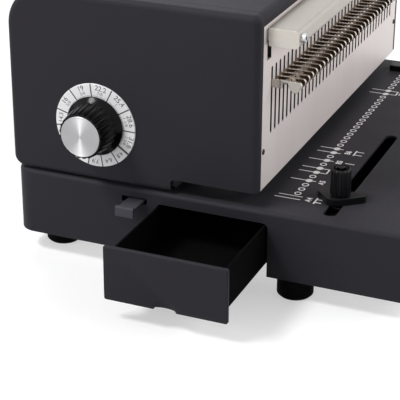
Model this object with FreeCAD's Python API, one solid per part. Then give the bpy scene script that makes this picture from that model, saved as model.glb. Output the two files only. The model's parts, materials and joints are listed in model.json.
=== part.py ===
"""Bench machine that punches a sheet stack on a 3:1 pitch and closes twin-loop wire on it.

Model axes: X runs along the machine from its left end face, Y from the front plate to the
back, Z up from the underside of the base. Every solid is moved at the end, so that the
origin is the middle of the footprint box, at the height of the feet's soles.
Lengths are in millimetres and angles in degrees. A rise is counted up from the deck and a
drop down from the named top it belongs to.
"""
import FreeCAD, Part
import math
import os
from FreeCAD import Vector

# ---------------------------------------------------------------- driving dimensions
# wire pitch and layout along X
pitch = 25.4 / 3
punch_count = 34
first_punch_x = 39.4
hook_count = 37

# fits and cutting
running_clearance = 0.05
cut_margin = 1.0
slot_end_flat = 0.01
same_place = 1e-6

# base
base_front_y = -125.0
base_back_y = 199.0
base_height = 52.0
base_overhang = 1.0
base_sheet = 2.0
base_corner_radius = 15.0
base_fold_radius = 3.0
floor_sheet = 1.5
floor_gap = 0.2
foot_radius = 13.7
foot_height = 16.5
foot_neck_radius = 12.6
foot_neck_height = 1.5
foot_shoulder_height = 5.0
foot_bevel = 2.0
foot_bore_radius = 2.2
foot_recess_radius = 5.0
foot_recess_depth = 5.0
foot_screw_radius = 2.1
foot_screw_head_radius = 3.9
foot_screw_head_height = 2.6
foot_nut_radius = 4.0
foot_nut_height = 3.0
foot_front_x = 52.0
foot_front_y = -100.0
foot_middle_x = 13.0
foot_middle_y = -27.5
foot_back_x = 29.0
foot_back_y = 173.0

# housing
body_back_overhang = 0.5
body_rise = 144.0
body_gap = 1.2
cover_sheet = 1.5
cover_edge_radius = 5.0
cover_back_radius = 30.0
cover_foot_radius = 9.0
cover_front_radius = 6.0
cover_lip_drop = 9.0
cover_shaft_gap = 1.5
end_cover_depth = 12.0
end_flange_width = 8.5
seam_gap = 0.3
throat_notch_depth = 67.5
throat_notch_rise = 12.0
throat_notch_radius = 3.0

# front plate and its slits
plate_thickness = 1.5
plate_bottom_rise = 11.2
slit_width = 3.3
slit_bottom_rise = 49.7
slit_length = 51.3
plate_edge_gap = 0.2
plate_screw_x = 12.0
plate_screw_rise = 40.6
plate_screw_radius = 2.2
plate_screw_head = 1.0
plate_screw_shank_radius = 1.1
plate_screw_hole_gap = 0.3
plate_screw_length = 9.0
lug_slot_gap = 0.5
lug_travel_gap = 0.8

# frame
frame_x = 9.5
frame_thickness = 5.0
frame_cover_gap = 0.2
frame_throat_gap_y = 1.0
frame_throat_gap_z = 0.5
frame_flange_width = 8.0
frame_flange_height = 4.0
spacer_radius = 5.0
spacer_front_y = 22.0
spacer_front_rise = 28.0
spacer_rear_y = 150.0
spacer_back_inset = 11.5
spacer_back_rise = 14.0
tie_bar_radius = 6.0
tie_bar_top_y = 110.0
tie_bar_back_inset = 13.5
tie_bar_low_rise = 28.0
tie_bar_high_rise = 98.0
cross_bar_drop = 10.0

# wire hooks
hook_thickness = 2.2
hook_arm_rise = 91.5
hook_arm_height = 6.2
hook_reach = 22.8
hook_notch_near = 8.3
hook_notch_far = 12.2
hook_notch_cover = 1.5
hook_notch_radius = 0.6
hook_tooth_lead_y = 1.0
hook_tooth_lead_z = 1.2
hook_tip_drop = 2.2
hook_tip_near = 6.6
hook_tip_far = 3.2
hook_tip_radius = 0.8
hook_face_height = 2.6
hook_face_radius = 1.5
hook_corner_radius = 2.6
hook_seat_depth = 3.0

# hook carriage and its guide rods
carriage_rise = 74.0
carriage_height = 21.5
carriage_depth = 14.5
slide_clear_y = 1.5
carriage_arm_thickness = 5.0
carriage_arm_root = 7.0
carriage_arm_tip = 5.0
carriage_arm_radius = 4.0
carriage_pin_y = 42.0
carriage_pin_height = 8.0
guide_rod_x = 34.0
guide_rod_y = 12.0
guide_rod_radius = 4.0
rod_block_wall = 4.0
rod_block_back = 2.0
rod_block_height = 10.0
rod_block_rise = 14.0
rod_head_height = 4.0
rod_head_drop = 3.0

# hook height setting: dial, scroll cam and adjuster slide
dial_y = 127.6
dial_rise = 45.4
dial_ring_radius = 32.6
dial_ring_thickness = 1.0
dial_ring_rim = 0.6
dial_ring_bevel = 0.4
dial_ring_bore_gap = 1.0
dial_turn = 330.0
wire_smallest = 6.4
wire_largest = 31.8
wire_at_rest = 14.5
dial_shaft_radius = 4.0
knob_gap = 0.3
knob_radius = 19.4
knob_skirt_radius = 22.8
knob_skirt_height = 5.0
knob_skirt_rim = 1.6
knob_height = 24.0
knob_draft = 2.2
knob_nose = 1.0
knob_flutes = 24
flute_radius = 1.5
flute_centre_share = 0.45
knob_cap_radius = 15.6
knob_cap_seat = 1.2
knob_cap_edge = 0.2
knob_cap_rise = 0.6
knob_cap_bevel = 0.8
knob_cap_rim = 2.4
knob_cap_dish = 0.3
scroll_radius = 40.5
scroll_thickness = 4.0
scroll_inner = 10.0
scroll_steps = 22
scroll_pin_radius = 2.5
scroll_pin_gap = 0.2
slot_clearance = 0.1
slot_overrun = 0.3
side_gap = 0.4
adjuster_thickness = 3.6
adjuster_half_height = 9.0
adjuster_margin = 6.0
adjuster_shoulder = 12.0
adjuster_crown = 2.0
adjuster_radius = 3.0
adjuster_rear_radius = 4.0
guide_pin_radius = 3.0
guide_pin_front_y = 52.0
guide_pin_back_y = 76.0
guide_pin_shoulder = 2.0
guide_pin_head = 1.8
guide_pin_head_thickness = 1.0

# punching unit
punch_line_y = 44.0
punch_side = 4.0
punch_clearance = 0.06
punch_rest_gap = 0.7
die_thickness = 5.0
paper_gap = 2.5
stripper_thickness = 6.5
die_front_y = 26.0
die_back_y = 72.0
die_end_margin = 9.4
die_spacer_length = 5.0
die_spacer_setback = 1.0
lead_in = 3.0
chip_slot_width = 9.0
throat_flange_height = 8.0
throat_flange_lift = 1.0
throat_bend_lift = 2.6
throat_guide_gap = 0.5
ram_front_y = 40.0
ram_back_y = 64.0
ram_rise = 46.0
ram_height = 20.0
ram_end_margin = 3.4
pin_seat_depth = 9.0
punch_stroke = 9.0
ear_thickness = 5.0
ear_base_front = 9.0
ear_base_back = 8.0
ear_tip = 6.0
ear_top_height = 5.0
ear_radius = 4.0
post_radius = 5.0
post_inset_x = 48.0
post_y = 58.0
post_overrun = 6.0
spring_wire_radius = 0.9
spring_radius = 7.2
spring_turns = 6.0
spring_end_gap = 0.1

# drive shaft and cams
shaft_y = 56.0
shaft_rise = 120.0
shaft_radius = 8.0
bush_flange = 2.0
bush_tail = 1.0
cam_width = 10.0
cam_contact_gap = 0.1
cam_overrun = 12.0
cam_hub_radius = 14.0
cam_steps = 10
punch_cam_x = 105.0
press_cam_x = 70.0
ram_roller_radius = 8.0
ram_roller_drop = 34.0
press_roller_radius = 6.0
press_roller_drop = 22.0
roller_cheek = 1.3
straight_down = math.radians(270.0)

# handle
handle_swing = 75.0
handle_lean = 25.0
handle_length = 214.0
handle_rod_radius = 7.0
hub_radius = 17.0
hub_width = 22.0
hub_gap = 1.8
hub_chamfer = 1.5
hub_boss_wall = 4.0
hub_boss_taper = 1.4
hub_boss_sink = 6.0
hub_boss_height = 12.0
rod_seat_sink = 2.0
grip_radius = 14.5
grip_length = 112.0
grip_overhang = 2.0
grip_collar_length = 9.0
grip_collar_bevel = 2.0
grip_collar_land = 5.0
grip_head_length = 12.0
grip_swells = 4
grip_crest_drop = 0.6
grip_valley_drop = 2.0
grip_collar_drop = 1.0
grip_neck_drop = 2.6
grip_dome_length = 6.0
grip_dome_step = 1.5
grip_dome_drop = 6.0
grip_end_wall = 5.0

# closing press
press_stroke = 14.0
press_bar_rise = 120.0
press_bar_height = 13.0
press_bar_front_y = -24.0
press_bar_gap = 1.6
press_bar_radius = 3.0
press_bar_back_radius = 0.5
press_bar_overhang = 3.0
press_screw_radius = 3.4
press_screw_head = 3.0
press_screw_shank_radius = 2.0
press_screw_hole_gap = 0.2
press_screw_grip = 5.0
yoke_height = 14.0
lug_width = 7.0
lug_x = 20.0
lug_height = 8.0
lug_lift = 3.0
yoke_arm_thickness = 5.0
yoke_arm_height = 12.0
yoke_arm_step = 9.0
yoke_arm_front = 10.0
yoke_arm_back = 7.0
yoke_arm_below = 6.0
yoke_arm_radius = 5.0
yoke_arm_bend = 3.0

# chip drawer
drawer_out = 78.0
drawer_panel_thickness = 3.0
drawer_panel_front_y = -9.8
drawer_panel_back_y = 85.0
drawer_panel_bottom_z = -0.5
drawer_panel_drop = 10.2
drawer_panel_radius = 1.6
drawer_panel_edge = 1.0
drawer_wall = 1.5
drawer_front_y = -7.6
drawer_back_y = 77.8
drawer_bottom_z = 9.0
drawer_drop = 11.0
drawer_length = 330.0
drawer_corner_radius = 3.0
drawer_opening_front_gap = 1.9
drawer_opening_back_gap = 1.0
drawer_opening_drop = 9.4
drawer_opening_radius = 4.0
floor_mouth_depth = 20.0
runner_width = 6.0
runner_gap = 0.3
runner_inset = 4.0
scoop_width = 19.0
scoop_depth = 2.2
scoop_edge_lift = 1.8
scoop_corner_radius = 1.0

# punching depth lever and gauge
lever_front_y = 88.9
lever_width = 13.2
lever_drop = 8.6
lever_thickness = 1.6
lever_reach = 16.5
lever_pad_height = 8.0
lever_pad_thickness = 3.0
lever_pad_rise = 0.8
lever_pad_radius = 0.8
lever_pad_brow = 1.2
lever_pad_front_inset = 0.2
lever_pad_back_overhang = 1.6
lever_rib_width = 2.0
lever_rib_foot = 3.0
lever_rib_end = 1.0
lever_slot_front_y = 86.2
lever_slot_length = 20.8
lever_slot_height = 4.6
lever_slot_radius = 1.0
depth_forward = 2.0
depth_back = 4.4
gauge_front_y = 49.0
gauge_thickness = 1.5
gauge_gap = 0.3
gauge_back_y = 104.0
gauge_end_inset = 12.0
gauge_post_x = 29.0
gauge_post_side = 8.0
gauge_post_gap = 1.0
gauge_front_radius = 1.0
gauge_waist_radius = 2.0
gauge_corner_radius = 4.0
gauge_taper = 10.0
gauge_arm_inset = 4.0
gauge_arm_front = 9.0
gauge_blade_back = 12.0

# paper stops on the deck
stop_slot_y = -50.9
stop_slot_width = 9.6
stop_slot_start_x = 11.0
stop_slot_end_x = 177.0
stop_x = 38.5
stop_plate_thickness = 5.0
stop_gap = 0.3
stop_paper_side = 8.5
stop_half_length = 18.0
stop_far_width = 7.0
stop_near_width = 5.0
stop_nose = 14.5
stop_nose_y = 3.0
stop_nose_radius = 8.0
stop_corner_radius = 2.0
stop_rib_length = 10.0
stop_rib_clearance = 0.2
stop_bore_gap = 0.1
tee_nut_side = 16.0
tee_nut_thickness = 5.0
tee_nut_corner = 1.0
stop_stud_radius = 2.5
stop_stud_tail = 2.0
stop_stud_point = 0.8
stop_knob_radius = 7.8
stop_knob_height = 21.0
stop_knob_draft = 0.3
stop_knob_bevel = 1.0
stop_knob_crown = 1.2
stop_knob_flutes = 14
stop_flute_radius = 1.1
stop_flute_offset = 0.45
side_stop_x = 328.5
side_stop_length = 10.0
side_stop_width = 10.0
side_stop_height = 5.0
side_stop_y = -14.0
side_stop_radius = 0.8

# ---------------------------------------------------------------- derived places
body_length = 2 * first_punch_x + (punch_count - 1) * pitch
body_middle_x = body_length / 2
last_punch_x = body_length - first_punch_x
first_hook_x = body_middle_x - (hook_count - 1) / 2 * pitch

deck_under_z = base_height - base_sheet
body_back_y = base_back_y + body_back_overhang
body_bottom_z = base_height + body_gap
body_top_z = base_height + body_rise
cover_lip_z = body_top_z - cover_lip_drop
cross_bar_z = body_top_z - cross_bar_drop
throat_notch_top_z = base_height + throat_notch_rise
plate_bottom_z = base_height + plate_bottom_rise
plate_screw_z = base_height + plate_screw_rise
slit_bottom_z = base_height + slit_bottom_rise
slit_top_z = slit_bottom_z + slit_length

frame_inner_x = frame_x + frame_thickness
frame_top_z = body_top_z - cover_sheet - frame_cover_gap
frame_back_y = body_back_y - cover_sheet - frame_cover_gap
frame_notch_y = throat_notch_depth + frame_throat_gap_y
frame_notch_z = throat_notch_top_z + frame_throat_gap_z
frame_foot_y = frame_back_y - cover_foot_radius
frame_bottom_z = body_bottom_z + cover_sheet + frame_cover_gap

hook_arm_top_z = base_height + hook_arm_rise
hook_arm_bottom_z = hook_arm_top_z - hook_arm_height
hook_notch_top_z = hook_arm_top_z - hook_notch_cover
hook_tip_z = hook_arm_bottom_z - hook_tip_drop
carriage_bottom_z = base_height + carriage_rise
carriage_top_z = carriage_bottom_z + carriage_height
carriage_front_y = plate_thickness + slide_clear_y
carriage_back_y = carriage_front_y + carriage_depth
carriage_pin_z = carriage_bottom_z + carriage_pin_height
rod_block_bottom_z = base_height + rod_block_rise
rod_top_z = frame_top_z - rod_head_drop

dial_z = base_height + dial_rise
knob_back_x = -dial_ring_thickness - knob_gap
knob_front_x = knob_back_x - knob_height
scroll_rise = (wire_largest - wire_smallest) / math.radians(dial_turn)
hook_up = wire_at_rest - wire_smallest
hook_down = wire_largest - wire_at_rest
scroll_rest = scroll_inner + hook_up
scroll_x = frame_inner_x + slide_clear_y
adjuster_x = scroll_x + scroll_thickness + side_gap

die_top_z = base_height + die_thickness
stripper_bottom_z = die_top_z + paper_gap
stripper_top_z = stripper_bottom_z + stripper_thickness
ram_bottom_z = base_height + ram_rise
ram_top_z = ram_bottom_z + ram_height
shaft_z = base_height + shaft_rise
punch_rise = punch_stroke / math.radians(handle_swing)
press_rise = press_stroke / math.radians(handle_swing)
ram_roller_z = shaft_z - ram_roller_drop
press_roller_z = shaft_z - press_roller_drop
press_bar_bottom_z = base_height + press_bar_rise
lug_bottom_z = press_bar_bottom_z + lug_lift
handle_x = body_length + hub_gap + hub_width / 2

drawer_x = -drawer_out + drawer_panel_thickness
drawer_panel_top_z = base_height - drawer_panel_drop
drawer_top_z = base_height - drawer_drop
drawer_opening_top_z = base_height - drawer_opening_drop
lever_top_z = base_height - lever_drop
lever_middle_y = lever_front_y + lever_width / 2
stop_plate_z = base_height + stop_gap
stop_knob_z = stop_plate_z + stop_plate_thickness + stop_gap
tee_nut_top_z = deck_under_z - stop_gap


# ---------------------------------------------------------------- shape helpers
def box(x0, x1, y0, y1, z0, z1):
    return Part.makeBox(x1 - x0, y1 - y0, z1 - z0, Vector(x0, y0, z0))


def rod_x(radius, x0, x1, y, z):
    return Part.makeCylinder(radius, x1 - x0, Vector(x0, y, z), Vector(1, 0, 0))


def rod_y(radius, y0, y1, x, z):
    return Part.makeCylinder(radius, y1 - y0, Vector(x, y0, z), Vector(0, 1, 0))


def rod_z(radius, z0, z1, x, y):
    return Part.makeCylinder(radius, z1 - z0, Vector(x, y, z0))


def bore_x(radius, x0, x1, y, z):
    """Cutter for a round hole along X that passes both faces."""
    return rod_x(radius, x0 - cut_margin, x1 + cut_margin, y, z)


def bore_z(radius, z0, z1, x, y):
    """Cutter for a round hole along Z that passes both faces."""
    return rod_z(radius, z0 - cut_margin, z1 + cut_margin, x, y)


def outline(corners, place):
    """Closed wire through (u, v, radius) corners; place turns u, v into a point."""
    joints = []
    for i, (u, w, radius) in enumerate(corners):
        corner = Vector(u, w, 0)
        to_last = Vector(corners[i - 1][0], corners[i - 1][1], 0) - corner
        following = corners[(i + 1) % len(corners)]
        to_next = Vector(following[0], following[1], 0) - corner
        to_last.normalize()
        to_next.normalize()
        half = to_last.getAngle(to_next) / 2
        inward = (to_last + to_next).normalize() if radius else Vector(0, 0, 0)
        centre = corner + inward * (radius / math.sin(half))
        trim = radius / math.tan(half)
        joints.append((corner + to_last * trim, centre - inward * radius, corner + to_next * trim))
    edges = []
    for i, (start, middle, end) in enumerate(joints):
        if (end - start).Length > same_place:
            edges.append(Part.Arc(place(start), place(middle), place(end)).toShape())
        after = joints[(i + 1) % len(joints)][0]
        if (after - end).Length > same_place:
            edges.append(Part.LineSegment(place(end), place(after)).toShape())
    return Part.Wire(edges)


def slab_yz(corners, x0, x1):
    wire = outline(corners, lambda p: Vector(x0, p.x, p.y))
    return Part.Face(wire).extrude(Vector(x1 - x0, 0, 0))


def slab_xz(corners, y0, y1):
    wire = outline(corners, lambda p: Vector(p.x, y0, p.y))
    return Part.Face(wire).extrude(Vector(0, y1 - y0, 0))


def slab_xy(corners, z0, z1):
    wire = outline(corners, lambda p: Vector(p.x, p.y, z0))
    return Part.Face(wire).extrude(Vector(0, 0, z1 - z0))


def rectangle(u0, u1, w0, w1, radius=0.0):
    return [(u0, w0, radius), (u1, w0, radius), (u1, w1, radius), (u0, w1, radius)]


def turned_x(profile, y, z):
    """Solid of revolution about the X axis through (y, z) from (x, radius) points."""
    points = [Vector(x, y, z + radius) for x, radius in profile]
    face = Part.Face(Part.makePolygon(points + points[:1]))
    return face.revolve(Vector(0, y, z), Vector(1, 0, 0), 360)


def turned_z(profile, x, y):
    """Solid of revolution about the Z axis through (x, y) from (radius, z) points."""
    points = [Vector(x + radius, y, z) for radius, z in profile]
    face = Part.Face(Part.makePolygon(points + points[:1]))
    return face.revolve(Vector(x, y, 0), Vector(0, 0, 1), 360)


def mirrored(shape):
    """The same piece at the machine's other end."""
    return shape.mirror(Vector(body_middle_x, 0, 0), Vector(1, 0, 0))


def both_ends(shape):
    return Part.makeCompound([shape, mirrored(shape)])


def at_both_ends(x):
    return [x, body_length - x]


def edges_where(shape, test):
    return [edge for edge in shape.Edges if all(test(v.Point) for v in edge.Vertexes)]


def rounded_tub(x0, x1, y0, y1, z0, z1, corner, fold):
    """Block with rounded upright corners and a rounded top rim."""
    block = slab_xy(rectangle(x0, x1, y0, y1, corner), z0, z1)
    return block.makeFillet(fold, edges_where(block, lambda p: abs(p.z - z1) < same_place))


def spiral_point(radius, slope, angle, offset):
    """Point beside an Archimedean spiral whose radius changes by slope per radian."""
    along = Vector(math.cos(angle), math.sin(angle), 0)
    across = Vector(-math.sin(angle), math.cos(angle), 0)
    tangent = along * slope + across * radius
    tangent.normalize()
    return along * radius + Vector(tangent.y, -tangent.x, 0) * offset


def spline_yz(points, x, y, z):
    curve = Part.BSplineCurve()
    curve.interpolate([Vector(x, y + p.x, z + p.y) for p in points])
    return curve.toShape()


def slanted_slot(start, end, half, x0, x1):
    """Cutter for a round-ended slot between two (y, z) places."""
    run = Vector(0, end[0] - start[0], end[1] - start[1])
    ends = [rod_x(half, x0, x1, y, z) for y, z in (start, end)]
    bar = Part.makeBox(x1 - x0, run.Length, 2 * half, Vector(x0, 0, -half))
    bar.rotate(Vector(0, 0, 0), Vector(1, 0, 0), math.degrees(math.atan2(run.z, run.y)))
    bar.translate(Vector(0, start[0], start[1]))
    return bar.fuse(ends)


# ---------------------------------------------------------------- base
def foot_places():
    rows = [(foot_front_x, foot_front_y), (foot_middle_x, foot_middle_y),
            (foot_back_x, foot_back_y)]
    return [(x, y) for row_x, y in rows for x in at_both_ends(row_x)]


def base_shell():
    """Folded sheet tray with its deck and the openings of drawer, lever, stop and chips."""
    left = -base_overhang
    right = body_length + base_overhang
    shell = rounded_tub(left, right, base_front_y, base_back_y, 0, base_height,
                        base_corner_radius, base_fold_radius)
    hollow = rounded_tub(left + base_sheet, right - base_sheet, base_front_y + base_sheet,
                         base_back_y - base_sheet, -cut_margin, deck_under_z,
                         base_corner_radius - base_sheet, base_fold_radius - base_sheet)
    return shell.cut([hollow, drawer_opening(), lever_slot(), stop_slot(), chip_slot(),
                      gauge_post_slot()])


def end_wall_cut(corners):
    return slab_yz(corners, -base_overhang - cut_margin, base_sheet + cut_margin)


def drawer_opening():
    """Mouth for the drawer, open at the wall's lower edge."""
    front = drawer_front_y - drawer_opening_front_gap
    back = drawer_back_y + drawer_opening_back_gap
    return end_wall_cut([(front, -cut_margin, 0), (back, -cut_margin, 0),
                         (back, drawer_opening_top_z, drawer_opening_radius),
                         (front, drawer_opening_top_z, drawer_opening_radius)])


def lever_slot():
    middle_z = lever_top_z - lever_thickness / 2
    return end_wall_cut(rectangle(lever_slot_front_y, lever_slot_front_y + lever_slot_length,
                                  middle_z - lever_slot_height / 2,
                                  middle_z + lever_slot_height / 2, lever_slot_radius))


def deck_cut(corners):
    return slab_xy(corners, deck_under_z - cut_margin, base_height + cut_margin)


def stop_slot():
    half = stop_slot_width / 2
    return deck_cut(rectangle(stop_slot_start_x, stop_slot_end_x, stop_slot_y - half,
                              stop_slot_y + half, half - slot_end_flat))


def chip_slot():
    half = chip_slot_width / 2
    return deck_cut(rectangle(first_punch_x - punch_side, last_punch_x + punch_side,
                              punch_line_y - half, punch_line_y + half))


def gauge_post_slot():
    reach = gauge_post_side / 2 + gauge_post_gap
    return deck_cut(rectangle(gauge_post_x - reach, gauge_post_x + reach,
                              lever_middle_y - reach - depth_forward,
                              lever_middle_y + reach + depth_back))


def base_floor():
    """Sheet that closes the base from below, cut back under the drawer's mouth."""
    inset = base_sheet + floor_gap
    sheet = slab_xy(
        rectangle(inset - base_overhang, body_length - inset + base_overhang,
                  base_front_y + inset, base_back_y - inset, base_corner_radius - inset),
        0, floor_sheet)
    mouth = box(-base_overhang, floor_mouth_depth, drawer_front_y - drawer_opening_front_gap,
                drawer_back_y + drawer_opening_back_gap, -cut_margin, floor_sheet + cut_margin)
    holes = [bore_z(foot_bore_radius, 0, floor_sheet, x, y) for x, y in foot_places()]
    return sheet.cut([mouth] + holes)


def rubber_feet():
    """Round feet with a narrower neck under the base and a recess for the screw's head."""
    recess_z = -foot_height + foot_recess_depth
    profile = [(foot_bore_radius, 0), (foot_neck_radius, 0), (foot_neck_radius, -foot_neck_height),
               (foot_radius, -foot_shoulder_height), (foot_radius, -foot_height + foot_bevel),
               (foot_radius - foot_bevel, -foot_height), (foot_recess_radius, -foot_height),
               (foot_recess_radius, recess_z), (foot_bore_radius, recess_z)]
    return Part.makeCompound([turned_z(profile, x, y) for x, y in foot_places()])


def foot_screws():
    """Screws up through the feet and the floor, each with its nut."""
    seat_z = -foot_height + foot_recess_depth
    head_z = seat_z - foot_screw_head_height
    nut_z = floor_sheet + foot_nut_height
    profile = [(0, head_z), (foot_screw_head_radius, head_z), (foot_screw_head_radius, seat_z),
               (foot_screw_radius, seat_z), (foot_screw_radius, floor_sheet),
               (foot_nut_radius, floor_sheet), (foot_nut_radius, nut_z), (0, nut_z)]
    return Part.makeCompound([turned_z(profile, x, y) for x, y in foot_places()])


def drawer_runners():
    """Rails on the base's floor that the drawer slides on."""
    front = drawer_front_y + runner_inset
    back = drawer_back_y - runner_inset - runner_width
    rails = [box(floor_mouth_depth, body_length - base_sheet, y, y + runner_width, floor_sheet,
                 drawer_bottom_z - runner_gap) for y in (front, back)]
    return Part.makeCompound(rails)


# ---------------------------------------------------------------- housing
def housing_corners(inset):
    """Side outline of the housing, with every wall moved inwards by inset."""
    front = inset
    back = body_back_y - inset
    bottom = body_bottom_z + inset
    top = body_top_z - inset
    return [(front, bottom, 0), (back, bottom, cover_foot_radius - inset),
            (back, top, cover_back_radius - inset), (front, top, cover_front_radius - inset)]


def throat_cut(x0, x1):
    bottom = body_bottom_z - cut_margin
    return slab_yz([(-cut_margin, bottom, 0), (throat_notch_depth, bottom, 0),
                    (throat_notch_depth, throat_notch_top_z, throat_notch_radius),
                    (-cut_margin, throat_notch_top_z, 0)], x0, x1)


def end_cover():
    """Deep-drawn left end cover: face, rounded rim and returns, with the open throat."""
    past_rim = end_cover_depth + cut_margin
    under = body_bottom_z - cut_margin
    outer = slab_yz(housing_corners(0), 0, end_cover_depth)
    outer = outer.makeFillet(cover_edge_radius,
                             edges_where(outer, lambda p: abs(p.x) < same_place))
    inner = slab_yz(housing_corners(cover_sheet), cover_sheet, past_rim)
    inner = inner.makeFillet(cover_edge_radius - cover_sheet,
                             edges_where(inner, lambda p: abs(p.x - cover_sheet) < same_place))
    flange_trim = box(end_flange_width, past_rim, -cut_margin, cover_sheet + cut_margin,
                      under, cover_lip_z)
    foot_relief = box(frame_x - seam_gap, past_rim, -cut_margin, frame_foot_y + seam_gap,
                      under, body_bottom_z + cover_sheet + seam_gap)
    return outer.cut([inner, throat_cut(-cut_margin, past_rim), flange_trim, foot_relief])


def shaft_hole_in_cover(radius, y, z):
    return bore_x(radius + cover_shaft_gap, 0, cover_sheet, y, z)


def left_end_cover():
    return end_cover().cut(shaft_hole_in_cover(dial_shaft_radius, dial_y, dial_z))


def right_end_cover():
    return mirrored(end_cover().cut(shaft_hole_in_cover(shaft_radius, shaft_y, shaft_z)))


def top_back_cover():
    """One folded sheet: front lip, top, rounded rear fold, back wall and its lower return."""
    x0 = end_cover_depth + seam_gap
    x1 = body_length - x0
    past_x0 = x0 - cut_margin
    past_x1 = x1 + cut_margin
    under = body_bottom_z - cut_margin
    core = slab_yz(housing_corners(cover_sheet), past_x0, past_x1)
    front_opening = box(past_x0, past_x1, -cut_margin, cover_sheet + cut_margin, under,
                        cover_lip_z)
    bottom_opening = box(past_x0, past_x1, -cut_margin, body_back_y - cover_foot_radius, under,
                         body_bottom_z + cover_sheet + cut_margin)
    return slab_yz(housing_corners(0), x0, x1).cut([core, front_opening, bottom_opening])


def frame_plate():
    """Left inner side plate with its foot flange, stepped over the open throat."""
    outer = [(plate_thickness, frame_notch_z, 0), (frame_notch_y, frame_notch_z, 0),
             (frame_notch_y, base_height, 0), (frame_foot_y, base_height, 0),
             (frame_foot_y, frame_bottom_z, 0),
             (frame_back_y, frame_bottom_z, cover_foot_radius - cover_sheet),
             (frame_back_y, frame_top_z, cover_back_radius - cover_sheet),
             (plate_thickness, frame_top_z, cover_front_radius - cover_sheet)]
    plate = slab_yz(outer, frame_x, frame_inner_x)
    flange = box(frame_inner_x, frame_inner_x + frame_flange_width, frame_notch_y,
                 frame_foot_y, base_height, base_height + frame_flange_height)
    screw_hole = rod_y(plate_screw_shank_radius, 0, plate_screw_length, plate_screw_x,
                       plate_screw_z)
    return plate.fuse(flange).cut([screw_hole, bush_hole(shaft_radius, shaft_y, shaft_z)])


def bush_hole(radius, y, z):
    return bore_x(radius + bush_flange, frame_x, frame_inner_x, y, z)


def left_frame_plate():
    return frame_plate().cut(bush_hole(dial_shaft_radius, dial_y, dial_z))


def right_frame_plate():
    return mirrored(frame_plate())


def cover_spacers():
    """Posts that hold the end covers off the frame plates."""
    places = [(spacer_front_y, base_height + spacer_front_rise), (spacer_front_y, cross_bar_z),
              (spacer_rear_y, cross_bar_z),
              (body_back_y - spacer_back_inset, base_height + spacer_back_rise)]
    left = [rod_x(spacer_radius, cover_sheet, frame_x, y, z) for y, z in places]
    return Part.makeCompound(left + [mirrored(post) for post in left])


def tie_bars():
    """Round bars between the two frame plates: one under the top and two at the back."""
    back_y = body_back_y - tie_bar_back_inset
    places = [(tie_bar_top_y, cross_bar_z), (back_y, base_height + tie_bar_high_rise),
              (back_y, base_height + tie_bar_low_rise)]
    return Part.makeCompound([rod_x(tie_bar_radius, frame_inner_x, body_length - frame_inner_x,
                                    y, z) for y, z in places])


def flanged_bush(radius, y, z):
    """Bush pushed into the left frame plate from outside, its flange against the plate."""
    inner = radius + running_clearance
    outer = radius + bush_flange
    rim = outer + bush_flange
    head_x = frame_x - bush_flange
    tail_x = frame_inner_x + bush_tail
    return turned_x([(head_x, inner), (tail_x, inner), (tail_x, outer), (frame_x, outer),
                     (frame_x, rim), (head_x, rim)], y, z)


def shaft_bushes():
    return both_ends(flanged_bush(shaft_radius, shaft_y, shaft_z))


def dial_bush():
    return flanged_bush(dial_shaft_radius, dial_y, dial_z)


def hook_places():
    return [first_hook_x + i * pitch for i in range(hook_count)]


def front_plate():
    """Brushed plate with one round-ended slit per hook and two slots for the press lugs."""
    x0 = end_flange_width + plate_edge_gap
    plate = box(x0, body_length - x0, 0, plate_thickness, plate_bottom_z,
                cover_lip_z - plate_edge_gap)
    front = -cut_margin
    back = plate_thickness + cut_margin
    half = slit_width / 2
    slits = [slab_xz(rectangle(x - half, x + half, slit_bottom_z, slit_top_z,
                               half - slot_end_flat), front, back) for x in hook_places()]
    reach = lug_width / 2 + lug_slot_gap
    lug_slot = box(lug_x - reach, lug_x + reach, front, back,
                   lug_bottom_z - press_stroke - lug_travel_gap,
                   lug_bottom_z + lug_height + lug_slot_gap)
    screw_hole = rod_y(plate_screw_shank_radius + plate_screw_hole_gap, front, back,
                       plate_screw_x, plate_screw_z)
    return plate.cut(slits + [lug_slot, mirrored(lug_slot), screw_hole, mirrored(screw_hole)])


def front_plate_screws():
    head = rod_y(plate_screw_radius, -plate_screw_head, 0, plate_screw_x, plate_screw_z)
    shank = rod_y(plate_screw_shank_radius, 0, plate_screw_length, plate_screw_x, plate_screw_z)
    return both_ends(head.fuse(shank))


def rod_blocks():
    """Blocks on the frame plates that hold the guide rods at their feet and heads."""
    x1 = guide_rod_x + guide_rod_radius + rod_block_wall
    spans = [(rod_block_bottom_z, rod_block_bottom_z + rod_block_height),
             (rod_top_z - rod_head_height, rod_top_z)]
    blocks = []
    for z0, z1 in spans:
        block = box(frame_inner_x, x1, carriage_front_y, carriage_back_y + rod_block_back, z0, z1)
        blocks.append(block.cut(bore_z(guide_rod_radius, z0, z1, guide_rod_x, guide_rod_y)))
    return Part.makeCompound(blocks + [mirrored(block) for block in blocks])


def guide_rods():
    return both_ends(rod_z(guide_rod_radius, rod_block_bottom_z, rod_top_z,
                           guide_rod_x, guide_rod_y))


def guide_bores(z0, z1):
    """Running bores of a cross bar that slides on the guide rods."""
    return [bore_z(guide_rod_radius + running_clearance, z0, z1, x, guide_rod_y)
            for x in at_both_ends(guide_rod_x)]


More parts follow.
